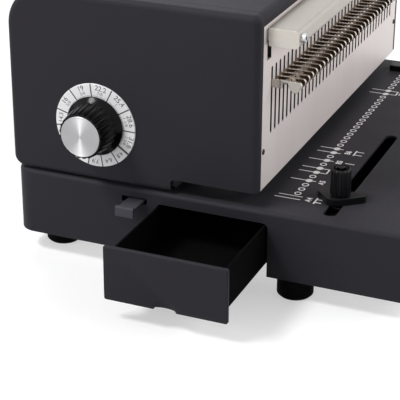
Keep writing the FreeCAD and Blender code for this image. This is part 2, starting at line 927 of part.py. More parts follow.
# ---------------------------------------------------------------- hook carriage
def hook_carriage():
    """Bar behind the front plate, sawn for the hook roots and bored for the guide rods."""
    x0 = first_hook_x - hook_thickness
    bar = box(x0, body_length - x0, carriage_front_y, carriage_back_y, carriage_bottom_z,
              carriage_top_z)
    half = hook_thickness / 2
    saw_cuts = [box(x - half, x + half, carriage_front_y - cut_margin,
                    carriage_front_y + hook_seat_depth, hook_arm_bottom_z, hook_arm_top_z)
                for x in hook_places()]
    tip_y = carriage_pin_y + carriage_arm_tip
    arm = slab_yz([(carriage_back_y, carriage_pin_z - carriage_arm_root, 0),
                   (tip_y, carriage_pin_z - carriage_arm_tip, carriage_arm_radius),
                   (tip_y, carriage_pin_z + carriage_arm_tip, carriage_arm_radius),
                   (carriage_back_y, carriage_pin_z + carriage_arm_root, 0)],
                  x0, x0 + carriage_arm_thickness)
    pin = rod_x(scroll_pin_radius, adjuster_x - side_gap, x0, carriage_pin_y, carriage_pin_z)
    bores = guide_bores(carriage_bottom_z, carriage_top_z)
    return bar.cut(saw_cuts + bores).fuse([arm, pin])


def wire_hooks():
    """Flat hooks: arm, notch that holds a wire loop, and a tapered tooth turned down."""
    root = carriage_front_y + hook_seat_depth
    profile = [(root, hook_arm_top_z, 0), (root, hook_arm_bottom_z, 0),
               (-hook_notch_near, hook_arm_bottom_z, hook_notch_radius),
               (-hook_notch_near, hook_notch_top_z, hook_notch_radius),
               (-hook_notch_far, hook_notch_top_z, hook_notch_radius),
               (-hook_notch_far - hook_tooth_lead_y, hook_arm_bottom_z + hook_tooth_lead_z, 0),
               (-hook_reach + hook_tip_near, hook_tip_z, hook_tip_radius),
               (-hook_reach + hook_tip_far, hook_tip_z, hook_tip_radius),
               (-hook_reach, hook_arm_bottom_z + hook_face_height, hook_face_radius),
               (-hook_reach, hook_arm_top_z, hook_corner_radius)]
    half = hook_thickness / 2
    first = slab_yz(profile, first_hook_x - half, first_hook_x + half)
    hooks = [first.translated(Vector(x - first_hook_x, 0, 0)) for x in hook_places()]
    return Part.makeCompound(hooks)


# ---------------------------------------------------------------- size dial and adjuster
def dial_ring():
    bore = dial_shaft_radius + dial_ring_bore_gap
    return turned_x([(-dial_ring_thickness, bore), (0, bore), (0, dial_ring_radius),
                     (-dial_ring_rim, dial_ring_radius),
                     (-dial_ring_thickness, dial_ring_radius - dial_ring_bevel)],
                    dial_y, dial_z)


def size_knob():
    """Skirted knob with a tapered, fluted grip and a seat for its cap."""
    skirt_top = knob_back_x - knob_skirt_height
    nose_radius = knob_radius - knob_draft
    seat_x = knob_front_x + knob_cap_seat
    profile = [(knob_back_x, dial_shaft_radius), (knob_back_x, knob_skirt_radius),
               (knob_back_x - knob_skirt_rim, knob_skirt_radius), (skirt_top, knob_radius),
               (knob_front_x + knob_nose, nose_radius), (knob_front_x, nose_radius - knob_nose),
               (knob_front_x, knob_cap_radius), (seat_x, knob_cap_radius),
               (seat_x, dial_shaft_radius)]
    knob = turned_x(profile, dial_y, dial_z)
    foot = knob_radius + flute_radius * flute_centre_share
    head = foot - knob_draft
    flutes = []
    for i in range(knob_flutes):
        angle = 2 * math.pi * i / knob_flutes
        outward = Vector(0, math.cos(angle), math.sin(angle))
        start = Vector(skirt_top, dial_y, dial_z) + outward * foot
        end = Vector(knob_front_x - cut_margin, dial_y, dial_z) + outward * head
        flutes.append(Part.makeCylinder(flute_radius, (end - start).Length, start, end - start))
    return knob.cut(flutes)


def knob_cap():
    """Spun cap with a shallow dish, seated in the knob's front recess."""
    seat_x = knob_front_x + knob_cap_seat
    return turned_x([(seat_x, 0), (seat_x, knob_cap_radius),
                     (knob_front_x - knob_cap_edge, knob_cap_radius),
                     (knob_front_x - knob_cap_rise, knob_cap_radius - knob_cap_bevel),
                     (knob_front_x - knob_cap_dish, knob_cap_radius - knob_cap_rim),
                     (knob_front_x, 0)], dial_y, dial_z)


def dial_shaft():
    return rod_x(dial_shaft_radius, knob_front_x + knob_cap_seat, scroll_x + scroll_thickness,
                 dial_y, dial_z)


def scroll_cam():
    """Disc whose spiral slot moves the adjuster evenly through the dial's whole turn."""
    disc = rod_x(scroll_radius, scroll_x, scroll_x + scroll_thickness, dial_y, dial_z)
    half = scroll_pin_radius + slot_clearance
    last = math.pi + hook_up / scroll_rise
    turn = math.radians(dial_turn)
    turned = [turn * i / scroll_steps for i in range(scroll_steps + 1)]
    outer = [spiral_point(scroll_inner + scroll_rise * t, -scroll_rise, last - t, half)
             for t in turned]
    inner = [spiral_point(scroll_inner + scroll_rise * t, -scroll_rise, last - t, -half)
             for t in turned]
    x0 = scroll_x - cut_margin

    def end_arc(index, sign):
        centre = (outer[index] + inner[index]) * 0.5
        across = (outer[index] - inner[index]).normalize()
        tip = centre + Vector(-across.y, across.x, 0) * half * sign
        points = [Vector(x0, dial_y + p.x, dial_z + p.y) for p in (outer[index], tip, inner[index])]
        return Part.Arc(*points).toShape()

    edges = [spline_yz(outer, x0, dial_y, dial_z), end_arc(-1, -1),
             spline_yz(inner, x0, dial_y, dial_z), end_arc(0, 1)]
    wire = Part.Wire(Part.__sortEdges__(edges))
    slot = Part.Face(wire).extrude(Vector(scroll_thickness + 2 * cut_margin, 0, 0))
    bore = bore_x(dial_shaft_radius, scroll_x, scroll_x + scroll_thickness, dial_y, dial_z)
    return disc.cut([slot, bore])


def adjuster_slide():
    """Plate that slides along Y: its pin rides in the scroll, its slanted slot lifts the hooks."""
    x0 = adjuster_x
    x1 = adjuster_x + adjuster_thickness
    pin_y = dial_y - scroll_rest
    rear = pin_y + adjuster_margin
    front = carriage_pin_y - hook_up - adjuster_margin
    top = carriage_pin_z + hook_up + adjuster_margin
    low = dial_z - adjuster_half_height
    high = dial_z + adjuster_half_height
    slot_end_y = carriage_pin_y + hook_down
    plate = slab_yz([(front, low, adjuster_radius), (rear, low, adjuster_rear_radius),
                     (rear, high, adjuster_rear_radius),
                     (slot_end_y + adjuster_shoulder, high, adjuster_radius),
                     (carriage_pin_y + adjuster_crown, top, adjuster_radius),
                     (front, top, adjuster_radius)], x0, x1)
    high_end = (carriage_pin_y - hook_up - slot_overrun, carriage_pin_z + hook_up + slot_overrun)
    low_end = (slot_end_y + slot_overrun, carriage_pin_z - hook_down - slot_overrun)
    lift_slot = slanted_slot(high_end, low_end, scroll_pin_radius + slot_clearance,
                             x0 - cut_margin, x1 + cut_margin)
    guide_slot = slanted_slot((guide_pin_front_y - hook_up - slot_overrun, dial_z),
                              (guide_pin_back_y + hook_down + slot_overrun, dial_z),
                              guide_pin_radius + slot_clearance, x0 - cut_margin, x1 + cut_margin)
    pin = rod_x(scroll_pin_radius, scroll_x + scroll_pin_gap, x0, pin_y, dial_z)
    return plate.cut([lift_slot, guide_slot]).fuse(pin)


def adjuster_guide_pins():
    """Shouldered pins on the frame plate that carry the adjuster slide."""
    head_x = adjuster_x + adjuster_thickness + side_gap
    end_x = head_x + guide_pin_head_thickness
    shoulder_x = adjuster_x - side_gap
    shoulder = guide_pin_radius + guide_pin_shoulder
    head = guide_pin_radius + guide_pin_head
    profile = [(frame_inner_x, 0), (frame_inner_x, shoulder), (shoulder_x, shoulder),
               (shoulder_x, guide_pin_radius), (head_x, guide_pin_radius), (head_x, head),
               (end_x, head), (end_x, 0)]
    return Part.makeCompound([turned_x(profile, y, dial_z)
                              for y in (guide_pin_front_y, guide_pin_back_y)])


# ---------------------------------------------------------------- punching unit
def punch_places():
    return [first_punch_x + i * pitch for i in range(punch_count)]


def punch_holes(z0, z1):
    half = punch_side / 2 + punch_clearance
    return [box(x - half, x + half, punch_line_y - half, punch_line_y + half,
                z0 - cut_margin, z1 + cut_margin) for x in punch_places()]


def die_plate():
    x0 = first_punch_x - die_end_margin
    plate = slab_yz([(die_front_y, base_height, 0), (die_back_y, base_height, 0),
                     (die_back_y, die_top_z, 0), (die_front_y + lead_in, die_top_z, 0),
                     (die_front_y, die_top_z - lead_in, 0)], x0, body_length - x0)
    return plate.cut(punch_holes(base_height, die_top_z))


def stripper_plate():
    x0 = first_punch_x - die_end_margin
    plate = slab_yz([(die_front_y + lead_in, stripper_bottom_z, 0),
                     (die_back_y, stripper_bottom_z, 0), (die_back_y, stripper_top_z, 0),
                     (die_front_y, stripper_top_z, 0),
                     (die_front_y, stripper_bottom_z + lead_in, 0)], x0, body_length - x0)
    return plate.cut(punch_holes(stripper_bottom_z, stripper_top_z))


def die_spacers():
    """Strips at both ends that keep the paper gap open between die and stripper."""
    x0 = first_punch_x - die_end_margin
    return both_ends(box(x0, x0 + die_spacer_length, die_front_y + lead_in + die_spacer_setback,
                         die_back_y, die_top_z, stripper_bottom_z))


def throat_guide():
    """Sloping sheet that leads paper from the plate's lower edge to the paper gap."""
    front = plate_thickness
    bend = 2 * plate_thickness
    top = plate_bottom_z + throat_flange_height
    entry_z = stripper_bottom_z + lead_in + throat_guide_gap
    x0 = first_punch_x - die_end_margin
    return slab_yz([(front, top, 0), (front, plate_bottom_z + throat_flange_lift, 0),
                    (die_front_y, entry_z, 0), (die_front_y, entry_z + plate_thickness, 0),
                    (bend, plate_bottom_z + throat_bend_lift, 0), (bend, top, 0)],
                   x0, body_length - x0)


def punch_pins():
    half = punch_side / 2
    return Part.makeCompound([box(x - half, x + half, punch_line_y - half, punch_line_y + half,
                                  stripper_bottom_z + punch_rest_gap,
                                  ram_bottom_z + pin_seat_depth) for x in punch_places()])


def punch_ram():
    """Pressure bar over the pins, with ears for the two rollers and bores for its posts."""
    x0 = first_punch_x - ram_end_margin
    x1 = body_length - x0
    half = punch_side / 2
    bar = box(x0, x1, ram_front_y, ram_back_y, ram_bottom_z, ram_top_z)
    groove = box(x0 - cut_margin, x1 + cut_margin, punch_line_y - half, punch_line_y + half,
                 ram_bottom_z - cut_margin, ram_bottom_z + pin_seat_depth)
    bores = [bore_z(post_radius + running_clearance, ram_bottom_z, ram_top_z, x, post_y)
             for x in at_both_ends(post_inset_x)]
    cheek = cam_width / 2 + roller_cheek
    top_z = ram_roller_z + ear_top_height
    ears = []
    for x in (punch_cam_x - cheek - ear_thickness, punch_cam_x + cheek):
        ear = slab_yz([(shaft_y - ear_base_front, ram_top_z, 0),
                       (shaft_y + ear_base_back, ram_top_z, 0),
                       (shaft_y + ear_tip, top_z, ear_radius),
                       (shaft_y - ear_tip, top_z, ear_radius)], x, x + ear_thickness)
        ears += [ear, mirrored(ear)]
    return bar.cut([groove] + bores).fuse(ears)


def ram_rollers():
    cheek = cam_width / 2 + roller_cheek
    return both_ends(rod_x(ram_roller_radius, punch_cam_x - cheek, punch_cam_x + cheek,
                           shaft_y, ram_roller_z))


def ram_posts():
    return both_ends(rod_z(post_radius, stripper_top_z, ram_top_z + post_overrun,
                           post_inset_x, post_y))


def ram_springs():
    """Return springs around the posts, between the stripper plate and the ram."""
    end_gap = spring_wire_radius + spring_end_gap
    height = ram_bottom_z - stripper_top_z - 2 * end_gap
    helix = Part.makeHelix(height / spring_turns, height, spring_radius)
    start = Vector(spring_radius, 0, 0)
    section = Part.Wire([Part.makeCircle(spring_wire_radius, start, Vector(0, 1, 0))])
    coil = Part.Wire(helix).makePipeShell([section], True, True)
    coil.translate(Vector(post_inset_x, post_y, stripper_top_z + end_gap))
    other = coil.translated(Vector(body_length - 2 * post_inset_x, 0, 0))
    return Part.makeCompound([coil, other])


def depth_gauge():
    """Back stop for the paper, lying in the paper gap, with an arm and a post to the lever."""
    z0 = die_top_z + gauge_gap
    z1 = z0 + gauge_thickness
    x0 = first_punch_x - punch_side + gauge_end_inset
    x1 = body_length - x0
    half = gauge_post_side / 2
    arm_x = gauge_post_x - half
    blade = slab_xy([(x0, gauge_front_y, gauge_front_radius),
                     (x1, gauge_front_y, gauge_front_radius),
                     (x1, gauge_back_y - gauge_taper, gauge_corner_radius),
                     (arm_x, gauge_back_y - gauge_arm_inset, gauge_waist_radius),
                     (arm_x, lever_middle_y - gauge_arm_front, gauge_waist_radius),
                     (x0, lever_middle_y - gauge_blade_back, gauge_corner_radius)], z0, z1)
    post = box(arm_x, gauge_post_x + half, lever_middle_y - half, lever_middle_y + half,
               lever_top_z, z0)
    return blade.fuse(post)


def depth_lever():
    """Flat lever through the end wall with an upright finger pad at its outer end."""
    y0 = lever_front_y
    y1 = lever_front_y + lever_width
    under_z = lever_top_z - lever_thickness
    tab = box(-lever_reach, gauge_post_x + gauge_post_side, y0, y1, under_z, lever_top_z)
    outer = -lever_reach - lever_pad_thickness
    pad_top = lever_top_z + lever_pad_rise
    pad_foot = pad_top - lever_pad_height
    pad = slab_xz([(outer, pad_foot, lever_pad_radius), (-lever_reach, pad_foot, lever_pad_radius),
                   (-lever_reach, pad_top, lever_pad_radius), (outer, pad_top, lever_pad_brow)],
                  y0 + lever_pad_front_inset, y1 + lever_pad_back_overhang)
    half_rib = lever_rib_width / 2
    rib = slab_xz([(-lever_reach, under_z, 0), (-lever_reach, pad_foot + lever_rib_end, 0),
                   (-base_overhang - lever_rib_foot, under_z, 0)],
                  lever_middle_y - half_rib, lever_middle_y + half_rib)
    return tab.fuse([pad, rib])


# ---------------------------------------------------------------- shaft, cams and handle
def sector_cam(x, drop, roller, rise):
    """Cam lobe that pushes a roller straight down by rise per radian of the shaft's turn."""
    over = math.radians(cam_overrun)
    first = straight_down + over
    sweep = math.radians(handle_swing) + 2 * over
    points = []
    for i in range(cam_steps + 1):
        angle = first - sweep * i / cam_steps
        radius = drop + rise * (straight_down - angle)
        points.append(spiral_point(radius, -rise, angle, -roller - cam_contact_gap))
    x0 = x - cam_width / 2
    x1 = x + cam_width / 2
    centre = Vector(x0, shaft_y, shaft_z)
    start = centre + Vector(0, points[0].x, points[0].y)
    end = centre + Vector(0, points[-1].x, points[-1].y)
    edges = [spline_yz(points, x0, shaft_y, shaft_z), Part.LineSegment(end, centre).toShape(),
             Part.LineSegment(centre, start).toShape()]
    lobe = Part.Face(Part.Wire(edges)).extrude(Vector(cam_width, 0, 0))
    hub = rod_x(cam_hub_radius, x0, x1, shaft_y, shaft_z)
    return lobe.fuse(hub).cut(bore_x(shaft_radius, x0, x1, shaft_y, shaft_z))


def punch_cams():
    return both_ends(sector_cam(punch_cam_x, ram_roller_drop, ram_roller_radius, punch_rise))


def press_cams():
    return both_ends(sector_cam(press_cam_x, press_roller_drop, press_roller_radius, press_rise))


def drive_shaft():
    return rod_x(shaft_radius, frame_x - bush_flange, handle_x + hub_width / 2, shaft_y, shaft_z)


def along_handle(length):
    """Place on the handle's middle line, length away from the shaft's axis."""
    lean = math.radians(handle_lean)
    return Vector(handle_x, shaft_y + length * math.sin(lean), shaft_z + length * math.cos(lean))


def handle_direction():
    return along_handle(1) - along_handle(0)


def handle_hub():
    """Clamp hub on the shaft's end with a socket boss for the handle rod."""
    x0 = handle_x - hub_width / 2
    x1 = handle_x + hub_width / 2
    rim = hub_radius - hub_chamfer
    hub = turned_x([(x0, shaft_radius), (x1, shaft_radius), (x1, rim),
                    (x1 - hub_chamfer, hub_radius), (x0 + hub_chamfer, hub_radius), (x0, rim)],
                   shaft_y, shaft_z)
    boss_foot_radius = handle_rod_radius + hub_boss_wall
    boss = Part.makeCone(boss_foot_radius, boss_foot_radius - hub_boss_taper,
                         hub_radius + hub_boss_height, along_handle(hub_radius - hub_boss_sink),
                         handle_direction())
    axle = bore_x(shaft_radius, x0, x1, shaft_y, shaft_z)
    return hub.fuse(boss).cut([axle, handle_rod()])


def handle_rod():
    seat = hub_radius - rod_seat_sink
    return Part.makeCylinder(handle_rod_radius, handle_length - hub_radius - rod_seat_sink,
                             along_handle(seat), handle_direction())


def handle_grip():
    """Moulded grip with finger swells and a domed end, pushed over the rod."""
    neck = grip_radius - grip_neck_drop
    collar = grip_radius - grip_collar_drop
    dome_foot = grip_length - grip_dome_length
    profile = [(handle_rod_radius, 0), (neck, 0), (collar, grip_collar_bevel),
               (collar, grip_collar_land), (neck, grip_collar_length)]
    swell = (grip_length - grip_collar_length - grip_head_length) / grip_swells
    for i in range(grip_swells):
        foot = grip_collar_length + i * swell
        profile += [(grip_radius - grip_crest_drop, foot + swell / 2),
                    (grip_radius - grip_valley_drop, foot + swell)]
    profile += [(grip_radius, dome_foot),
                (grip_radius - grip_valley_drop, grip_length - grip_dome_step),
                (grip_radius - grip_dome_drop, grip_length), (0, grip_length),
                (0, grip_length - grip_end_wall), (handle_rod_radius, grip_length - grip_end_wall)]
    grip = turned_z(profile, 0, 0)
    grip.rotate(Vector(0, 0, 0), Vector(1, 0, 0), -handle_lean)
    grip.translate(along_handle(handle_length + grip_overhang - grip_length))
    return grip


# ---------------------------------------------------------------- closing press
def press_yoke():
    """Guided cross bar behind the plate, with lugs to the front and roller arms to the rear."""
    x0 = lug_x - lug_width / 2
    x1 = body_length - x0
    z0 = press_bar_bottom_z
    z1 = z0 + yoke_height
    bar = box(x0, x1, carriage_front_y, carriage_back_y, z0, z1)
    lug = box(x0, x0 + lug_width, -press_bar_gap, carriage_front_y, lug_bottom_z,
              lug_bottom_z + lug_height)
    low_z = press_roller_z - yoke_arm_below
    high_z = press_roller_z + yoke_arm_below
    back = shaft_y + yoke_arm_back
    arm_x = press_cam_x - cam_width / 2 - roller_cheek - yoke_arm_thickness
    arm = slab_yz([(carriage_back_y, z0 + yoke_arm_height, 0), (carriage_back_y, z0, 0),
                   (shaft_y - yoke_arm_front, low_z, yoke_arm_radius),
                   (back, low_z, yoke_arm_radius), (back, high_z, yoke_arm_radius),
                   (shaft_y - yoke_arm_front, high_z, yoke_arm_bend),
                   (carriage_back_y + yoke_arm_step, z0 + yoke_arm_height, yoke_arm_bend)],
                  arm_x, arm_x + yoke_arm_thickness)
    screw_hole = press_screw_cut(press_screw_shank_radius)
    return bar.fuse([lug, mirrored(lug), arm, mirrored(arm)]).cut(
        guide_bores(z0, z1) + [screw_hole, mirrored(screw_hole)])


def press_rollers():
    x0 = press_cam_x - cam_width / 2 - roller_cheek
    return both_ends(rod_x(press_roller_radius, x0, press_cam_x + cam_width / 2, shaft_y,
                           press_roller_z))


def press_screw_cut(radius):
    """Shank of the left press bar screw, from the bar's front face into the yoke."""
    return rod_y(radius, press_bar_front_y, carriage_front_y + press_screw_grip, lug_x,
                 lug_bottom_z + lug_height / 2)


def press_bar():
    """Polished closing bar in front of the plate, above the hooks."""
    x0 = lug_x - lug_width / 2 - press_bar_overhang
    z0 = press_bar_bottom_z
    z1 = z0 + press_bar_height
    bar = slab_yz([(-press_bar_gap, z0, press_bar_back_radius),
                   (-press_bar_gap, z1, press_bar_back_radius),
                   (press_bar_front_y, z1, press_bar_radius),
                   (press_bar_front_y, z0, press_bar_radius)], x0, body_length - x0)
    hole = press_screw_cut(press_screw_shank_radius + press_screw_hole_gap)
    return bar.cut([hole, mirrored(hole)])


def press_bar_screws():
    """Screws through the closing bar into the yoke's lugs."""
    head = rod_y(press_screw_radius, press_bar_front_y - press_screw_head, press_bar_front_y,
                 lug_x, lug_bottom_z + lug_height / 2)
    return both_ends(head.fuse(press_screw_cut(press_screw_shank_radius)))


# ---------------------------------------------------------------- chip drawer
def drawer_box():
    x0 = drawer_x
    x1 = drawer_x + drawer_length
    wall = drawer_wall
    tray = slab_xy(rectangle(x0, x1, drawer_front_y, drawer_back_y, drawer_corner_radius),
                   drawer_bottom_z, drawer_top_z)
    hollow = slab_xy(rectangle(x0 + wall, x1 - wall, drawer_front_y + wall, drawer_back_y - wall,
                               drawer_corner_radius - wall),
                     drawer_bottom_z + wall, drawer_top_z + cut_margin)
    return tray.cut(hollow)


def drawer_front():
    """Front panel with softened edges and a finger scoop in its lower edge."""
    x0 = -drawer_out
    x1 = drawer_x
    panel = slab_yz(rectangle(drawer_panel_front_y, drawer_panel_back_y, drawer_panel_bottom_z,
                              drawer_panel_top_z, drawer_panel_radius), x0, x1)
    panel = panel.makeFillet(drawer_panel_edge,
                             edges_where(panel, lambda p: abs(p.x - x0) < same_place))
    middle_y = (drawer_panel_front_y + drawer_panel_back_y) / 2
    half = scoop_width / 2
    ball = (half ** 2 + scoop_depth ** 2) / (2 * scoop_depth)
    scoop = Part.makeSphere(ball, Vector(x0 + scoop_depth - ball, middle_y,
                                         drawer_panel_bottom_z))
    under = drawer_panel_bottom_z - cut_margin
    brow = drawer_panel_bottom_z + scoop_edge_lift
    brow_half = half - scoop_edge_lift
    lift = slab_yz([(middle_y - half, under, 0), (middle_y + half, under, 0),
                    (middle_y + brow_half, brow, scoop_corner_radius),
                    (middle_y - brow_half, brow, scoop_corner_radius)],
                   x0 - cut_margin, x1 + cut_margin)
    return panel.cut([scoop, lift])


# ---------------------------------------------------------------- paper stops
def edge_stop():
    """Sliding stop: straight paper edge, rounded nose and a rib that fits the deck slot."""
    z0 = stop_plate_z
    z1 = z0 + stop_plate_thickness
    side_x = stop_x + stop_paper_side
    front_y = stop_slot_y - stop_half_length
    back_y = stop_slot_y + stop_half_length
    plate = slab_xy([(side_x, front_y, stop_corner_radius), (side_x, back_y, stop_corner_radius),
                     (side_x - stop_far_width, back_y, stop_corner_radius),
                     (stop_x - stop_nose, stop_slot_y + stop_nose_y, stop_nose_radius),
                     (side_x - stop_near_width, front_y, stop_corner_radius)], z0, z1)
    half_width = stop_slot_width / 2 - stop_rib_clearance
    half_length = stop_rib_length / 2
    rib = box(stop_x - half_length, stop_x + half_length, stop_slot_y - half_width,
              stop_slot_y + half_width, deck_under_z + stop_rib_clearance, z0)
    bore = bore_z(stop_stud_radius + stop_bore_gap, deck_under_z, z1, stop_x, stop_slot_y)
    return plate.fuse(rib).cut(bore)


def tee_nut():
    """Square nut under the deck that the stop's stud screws into."""
    half = tee_nut_side / 2
    z0 = tee_nut_top_z - tee_nut_thickness
    block = slab_xy(rectangle(stop_x - half, stop_x + half, stop_slot_y - half,
                              stop_slot_y + half, tee_nut_corner), z0, tee_nut_top_z)
    return block.cut(bore_z(stop_stud_radius + running_clearance, z0, tee_nut_top_z,
                            stop_x, stop_slot_y))


def stop_knob():
    """Fluted clamp knob of the edge stop."""
    z0 = stop_knob_z
    z1 = z0 + stop_knob_height
    top_radius = stop_knob_radius - stop_knob_draft
    knob = turned_z([(stop_stud_radius, z0), (stop_knob_radius - stop_knob_bevel, z0),
                     (stop_knob_radius, z0 + stop_knob_bevel), (top_radius, z1 - stop_knob_crown),
                     (top_radius - stop_knob_crown, z1), (stop_stud_radius, z1)],
                    stop_x, stop_slot_y)
    reach = stop_knob_radius + stop_flute_offset
    flutes = []
    for i in range(stop_knob_flutes):
        angle = 2 * math.pi * (i + 0.5) / stop_knob_flutes
        flutes.append(bore_z(stop_flute_radius, z0, z1, stop_x + reach * math.cos(angle),
                             stop_slot_y + reach * math.sin(angle)))
    return knob.cut(flutes)


def stop_stud():
    return rod_z(stop_stud_radius, tee_nut_top_z - tee_nut_thickness - stop_stud_tail,
                 stop_knob_z + stop_knob_height + stop_stud_point, stop_x, stop_slot_y)


def side_stop():
    """Fixed block on the deck that squares the paper's right edge."""
    top_z = base_height + side_stop_height
    block = box(side_stop_x, side_stop_x + side_stop_length, side_stop_y,
                side_stop_y + side_stop_width, base_height, top_z)
    return block.makeFillet(side_stop_radius,
                            edges_where(block, lambda p: abs(p.z - top_z) < same_place))


# ---------------------------------------------------------------- every piece, one file each
makers = [
    base_shell, base_floor, rubber_feet, foot_screws, drawer_runners,
    left_end_cover, right_end_cover, top_back_cover,
    left_frame_plate, right_frame_plate, cover_spacers, tie_bars, shaft_bushes, dial_bush,
    front_plate, front_plate_screws, rod_blocks, guide_rods, hook_carriage, wire_hooks,
    dial_ring, size_knob, knob_cap, dial_shaft, scroll_cam, adjuster_slide,
    adjuster_guide_pins, die_plate, stripper_plate, die_spacers, throat_guide,
    punch_pins, punch_ram, ram_rollers, ram_posts, ram_springs, depth_gauge, depth_lever,
    punch_cams, press_cams, drive_shaft, handle_hub, handle_rod, handle_grip,
    press_yoke, press_rollers, press_bar, press_bar_screws,
    drawer_box, drawer_front, edge_stop, tee_nut, stop_knob, stop_stud, side_stop,
]

os.makedirs("parts", exist_ok=True)
nodes = {make.__name__: make() for make in makers}
extent = Part.makeCompound(list(nodes.values())).optimalBoundingBox()
origin = Vector((extent.XMin + extent.XMax) / 2, (extent.YMin + extent.YMax) / 2, extent.ZMin)
for name, shape in nodes.items():
    shape.translate(-origin)
    shape.exportStep(os.path.join("parts", name + ".step"))
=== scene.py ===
import json
import math

import bmesh
import bpy
from bpy.props import FloatProperty, FloatVectorProperty, IntProperty, PointerProperty
from bpy.types import Operator, Panel, PropertyGroup
from mathutils import Matrix, Vector

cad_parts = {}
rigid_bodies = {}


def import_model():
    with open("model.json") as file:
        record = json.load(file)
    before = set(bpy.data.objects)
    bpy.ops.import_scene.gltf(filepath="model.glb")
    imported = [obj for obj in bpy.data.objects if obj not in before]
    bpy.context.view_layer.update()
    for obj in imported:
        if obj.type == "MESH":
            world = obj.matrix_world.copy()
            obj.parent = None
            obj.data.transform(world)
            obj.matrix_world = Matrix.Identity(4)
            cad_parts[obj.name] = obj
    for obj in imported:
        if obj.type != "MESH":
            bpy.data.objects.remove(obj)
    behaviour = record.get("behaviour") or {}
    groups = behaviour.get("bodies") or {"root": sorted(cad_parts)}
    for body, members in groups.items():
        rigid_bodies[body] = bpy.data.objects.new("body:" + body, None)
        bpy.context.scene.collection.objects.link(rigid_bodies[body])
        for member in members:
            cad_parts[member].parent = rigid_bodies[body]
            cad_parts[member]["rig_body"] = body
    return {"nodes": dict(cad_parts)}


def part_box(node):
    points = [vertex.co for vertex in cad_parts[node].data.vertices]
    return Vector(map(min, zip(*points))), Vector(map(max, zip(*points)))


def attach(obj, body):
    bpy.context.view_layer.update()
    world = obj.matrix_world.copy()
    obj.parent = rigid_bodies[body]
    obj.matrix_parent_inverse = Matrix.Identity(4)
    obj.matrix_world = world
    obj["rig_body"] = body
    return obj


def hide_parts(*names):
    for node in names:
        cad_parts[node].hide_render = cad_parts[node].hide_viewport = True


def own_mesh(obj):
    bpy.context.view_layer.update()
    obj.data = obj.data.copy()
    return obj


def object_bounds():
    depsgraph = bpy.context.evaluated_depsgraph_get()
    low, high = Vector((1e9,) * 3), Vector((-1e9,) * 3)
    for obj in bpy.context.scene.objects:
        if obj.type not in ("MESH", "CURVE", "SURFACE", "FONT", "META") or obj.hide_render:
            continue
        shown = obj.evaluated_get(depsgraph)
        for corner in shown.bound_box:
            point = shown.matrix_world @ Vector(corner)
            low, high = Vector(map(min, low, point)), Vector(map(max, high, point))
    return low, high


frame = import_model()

bl_info = {
    "name": "Wire binding machine",
    "version": (1, 0, 0),
    "blender": (4, 5, 0),
    "location": "3D View > Sidebar > Binding",
    "description": "Builds the visible finish of a bench machine that punches and closes wire",
    "category": "Object",
}

# Places are written in millimetres along the machine's own axes: X from the left end
# cover, Y from the face of the front plate, Z from the underside of the base.
MM = 0.001
FRAME_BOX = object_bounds()
DATUM = Vector((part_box("left_end_cover")[0].x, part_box("front_plate")[0].y,
                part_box("base_shell")[0].z))


def at(x, y, z):
    """A place on the machine, in metres."""
    return DATUM + Vector((x, y, z)) * MM


def millimetres(x, y, z):
    """A distance along the machine's axes, in metres."""
    return (x * MM, y * MM, z * MM)


def machine_box(node):
    """Lowest and highest corner of a node, in millimetres on the machine's axes."""
    low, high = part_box(node)
    return (low - DATUM) / MM, (high - DATUM) / MM


def middle_of(node):
    low, high = machine_box(node)
    return (low + high) / 2


def radius_of(node, axis="z"):
    """Half of a round node's size along an axis, in millimetres."""
    low, high = machine_box(node)
    return (getattr(high, axis) - getattr(low, axis)) / 2


DIAL_AXIS = middle_of("size_knob")     # its Y and Z hold for the dial and all on its shaft


# ------------------------------------------------------------------ sizes and colours
def length(name, description, millimetres):
    return FloatProperty(name=name, description=description, default=millimetres * MM,
                         min=0.0, precision=5, unit="LENGTH", subtype="DISTANCE")


def number(name, description, default, least, most):
    return IntProperty(name=name, description=description, default=default, min=least,
                       max=most)


def colour(name, description, value):
    return FloatVectorProperty(name=name, description=description, default=value, size=3,
                               min=0.0, max=1.0, subtype="COLOR")


class MachineSizes(PropertyGroup):
    """Sizes of the pieces that are modelled here and not in the frame."""
    edge: length("Broken edge", "Width of the small bevel on machined edges", 0.35)
    sheet_edge: length("Sheet edge", "Width of the bevel on sheet metal edges", 0.25)
    hook_edge: length("Hook edge", "Width of the bevel round each wire hook", 0.35)
    hook_count: number("Hooks", "Number of wire hooks in the row", 37, 2, 60)
    ring_radius: length("Printed ring", "Outer radius of the rings on the deck", 2.7)
    ring_line: length("Ring line", "Width of the line of the rings on the deck", 0.95)
    guide_line: length("Guide line", "Width of the printed size lines", 0.95)
    label_height: length("Label height", "Height of the printed size labels", 4.6)
    dial_gap_line: length("Dial line", "Width of the lines between the dial's sizes", 0.85)
    dial_number: length("Dial number", "Height of the dial's numbers", 4.6)
    knob_flutes: number("Knob flutes", "Flutes round the size knob", 24, 6, 60)
    stop_flutes: number("Stop flutes", "Flutes round the clamp knob", 14, 6, 40)
    flute_depth: length("Flute depth", "Depth of the size knob's flutes", 0.82)
    flute_radius: length("Flute radius", "Radius of the size knob's flutes", 1.5)
    grip_swells: number("Grip swells", "Swells along the handle grip", 4, 1, 12)


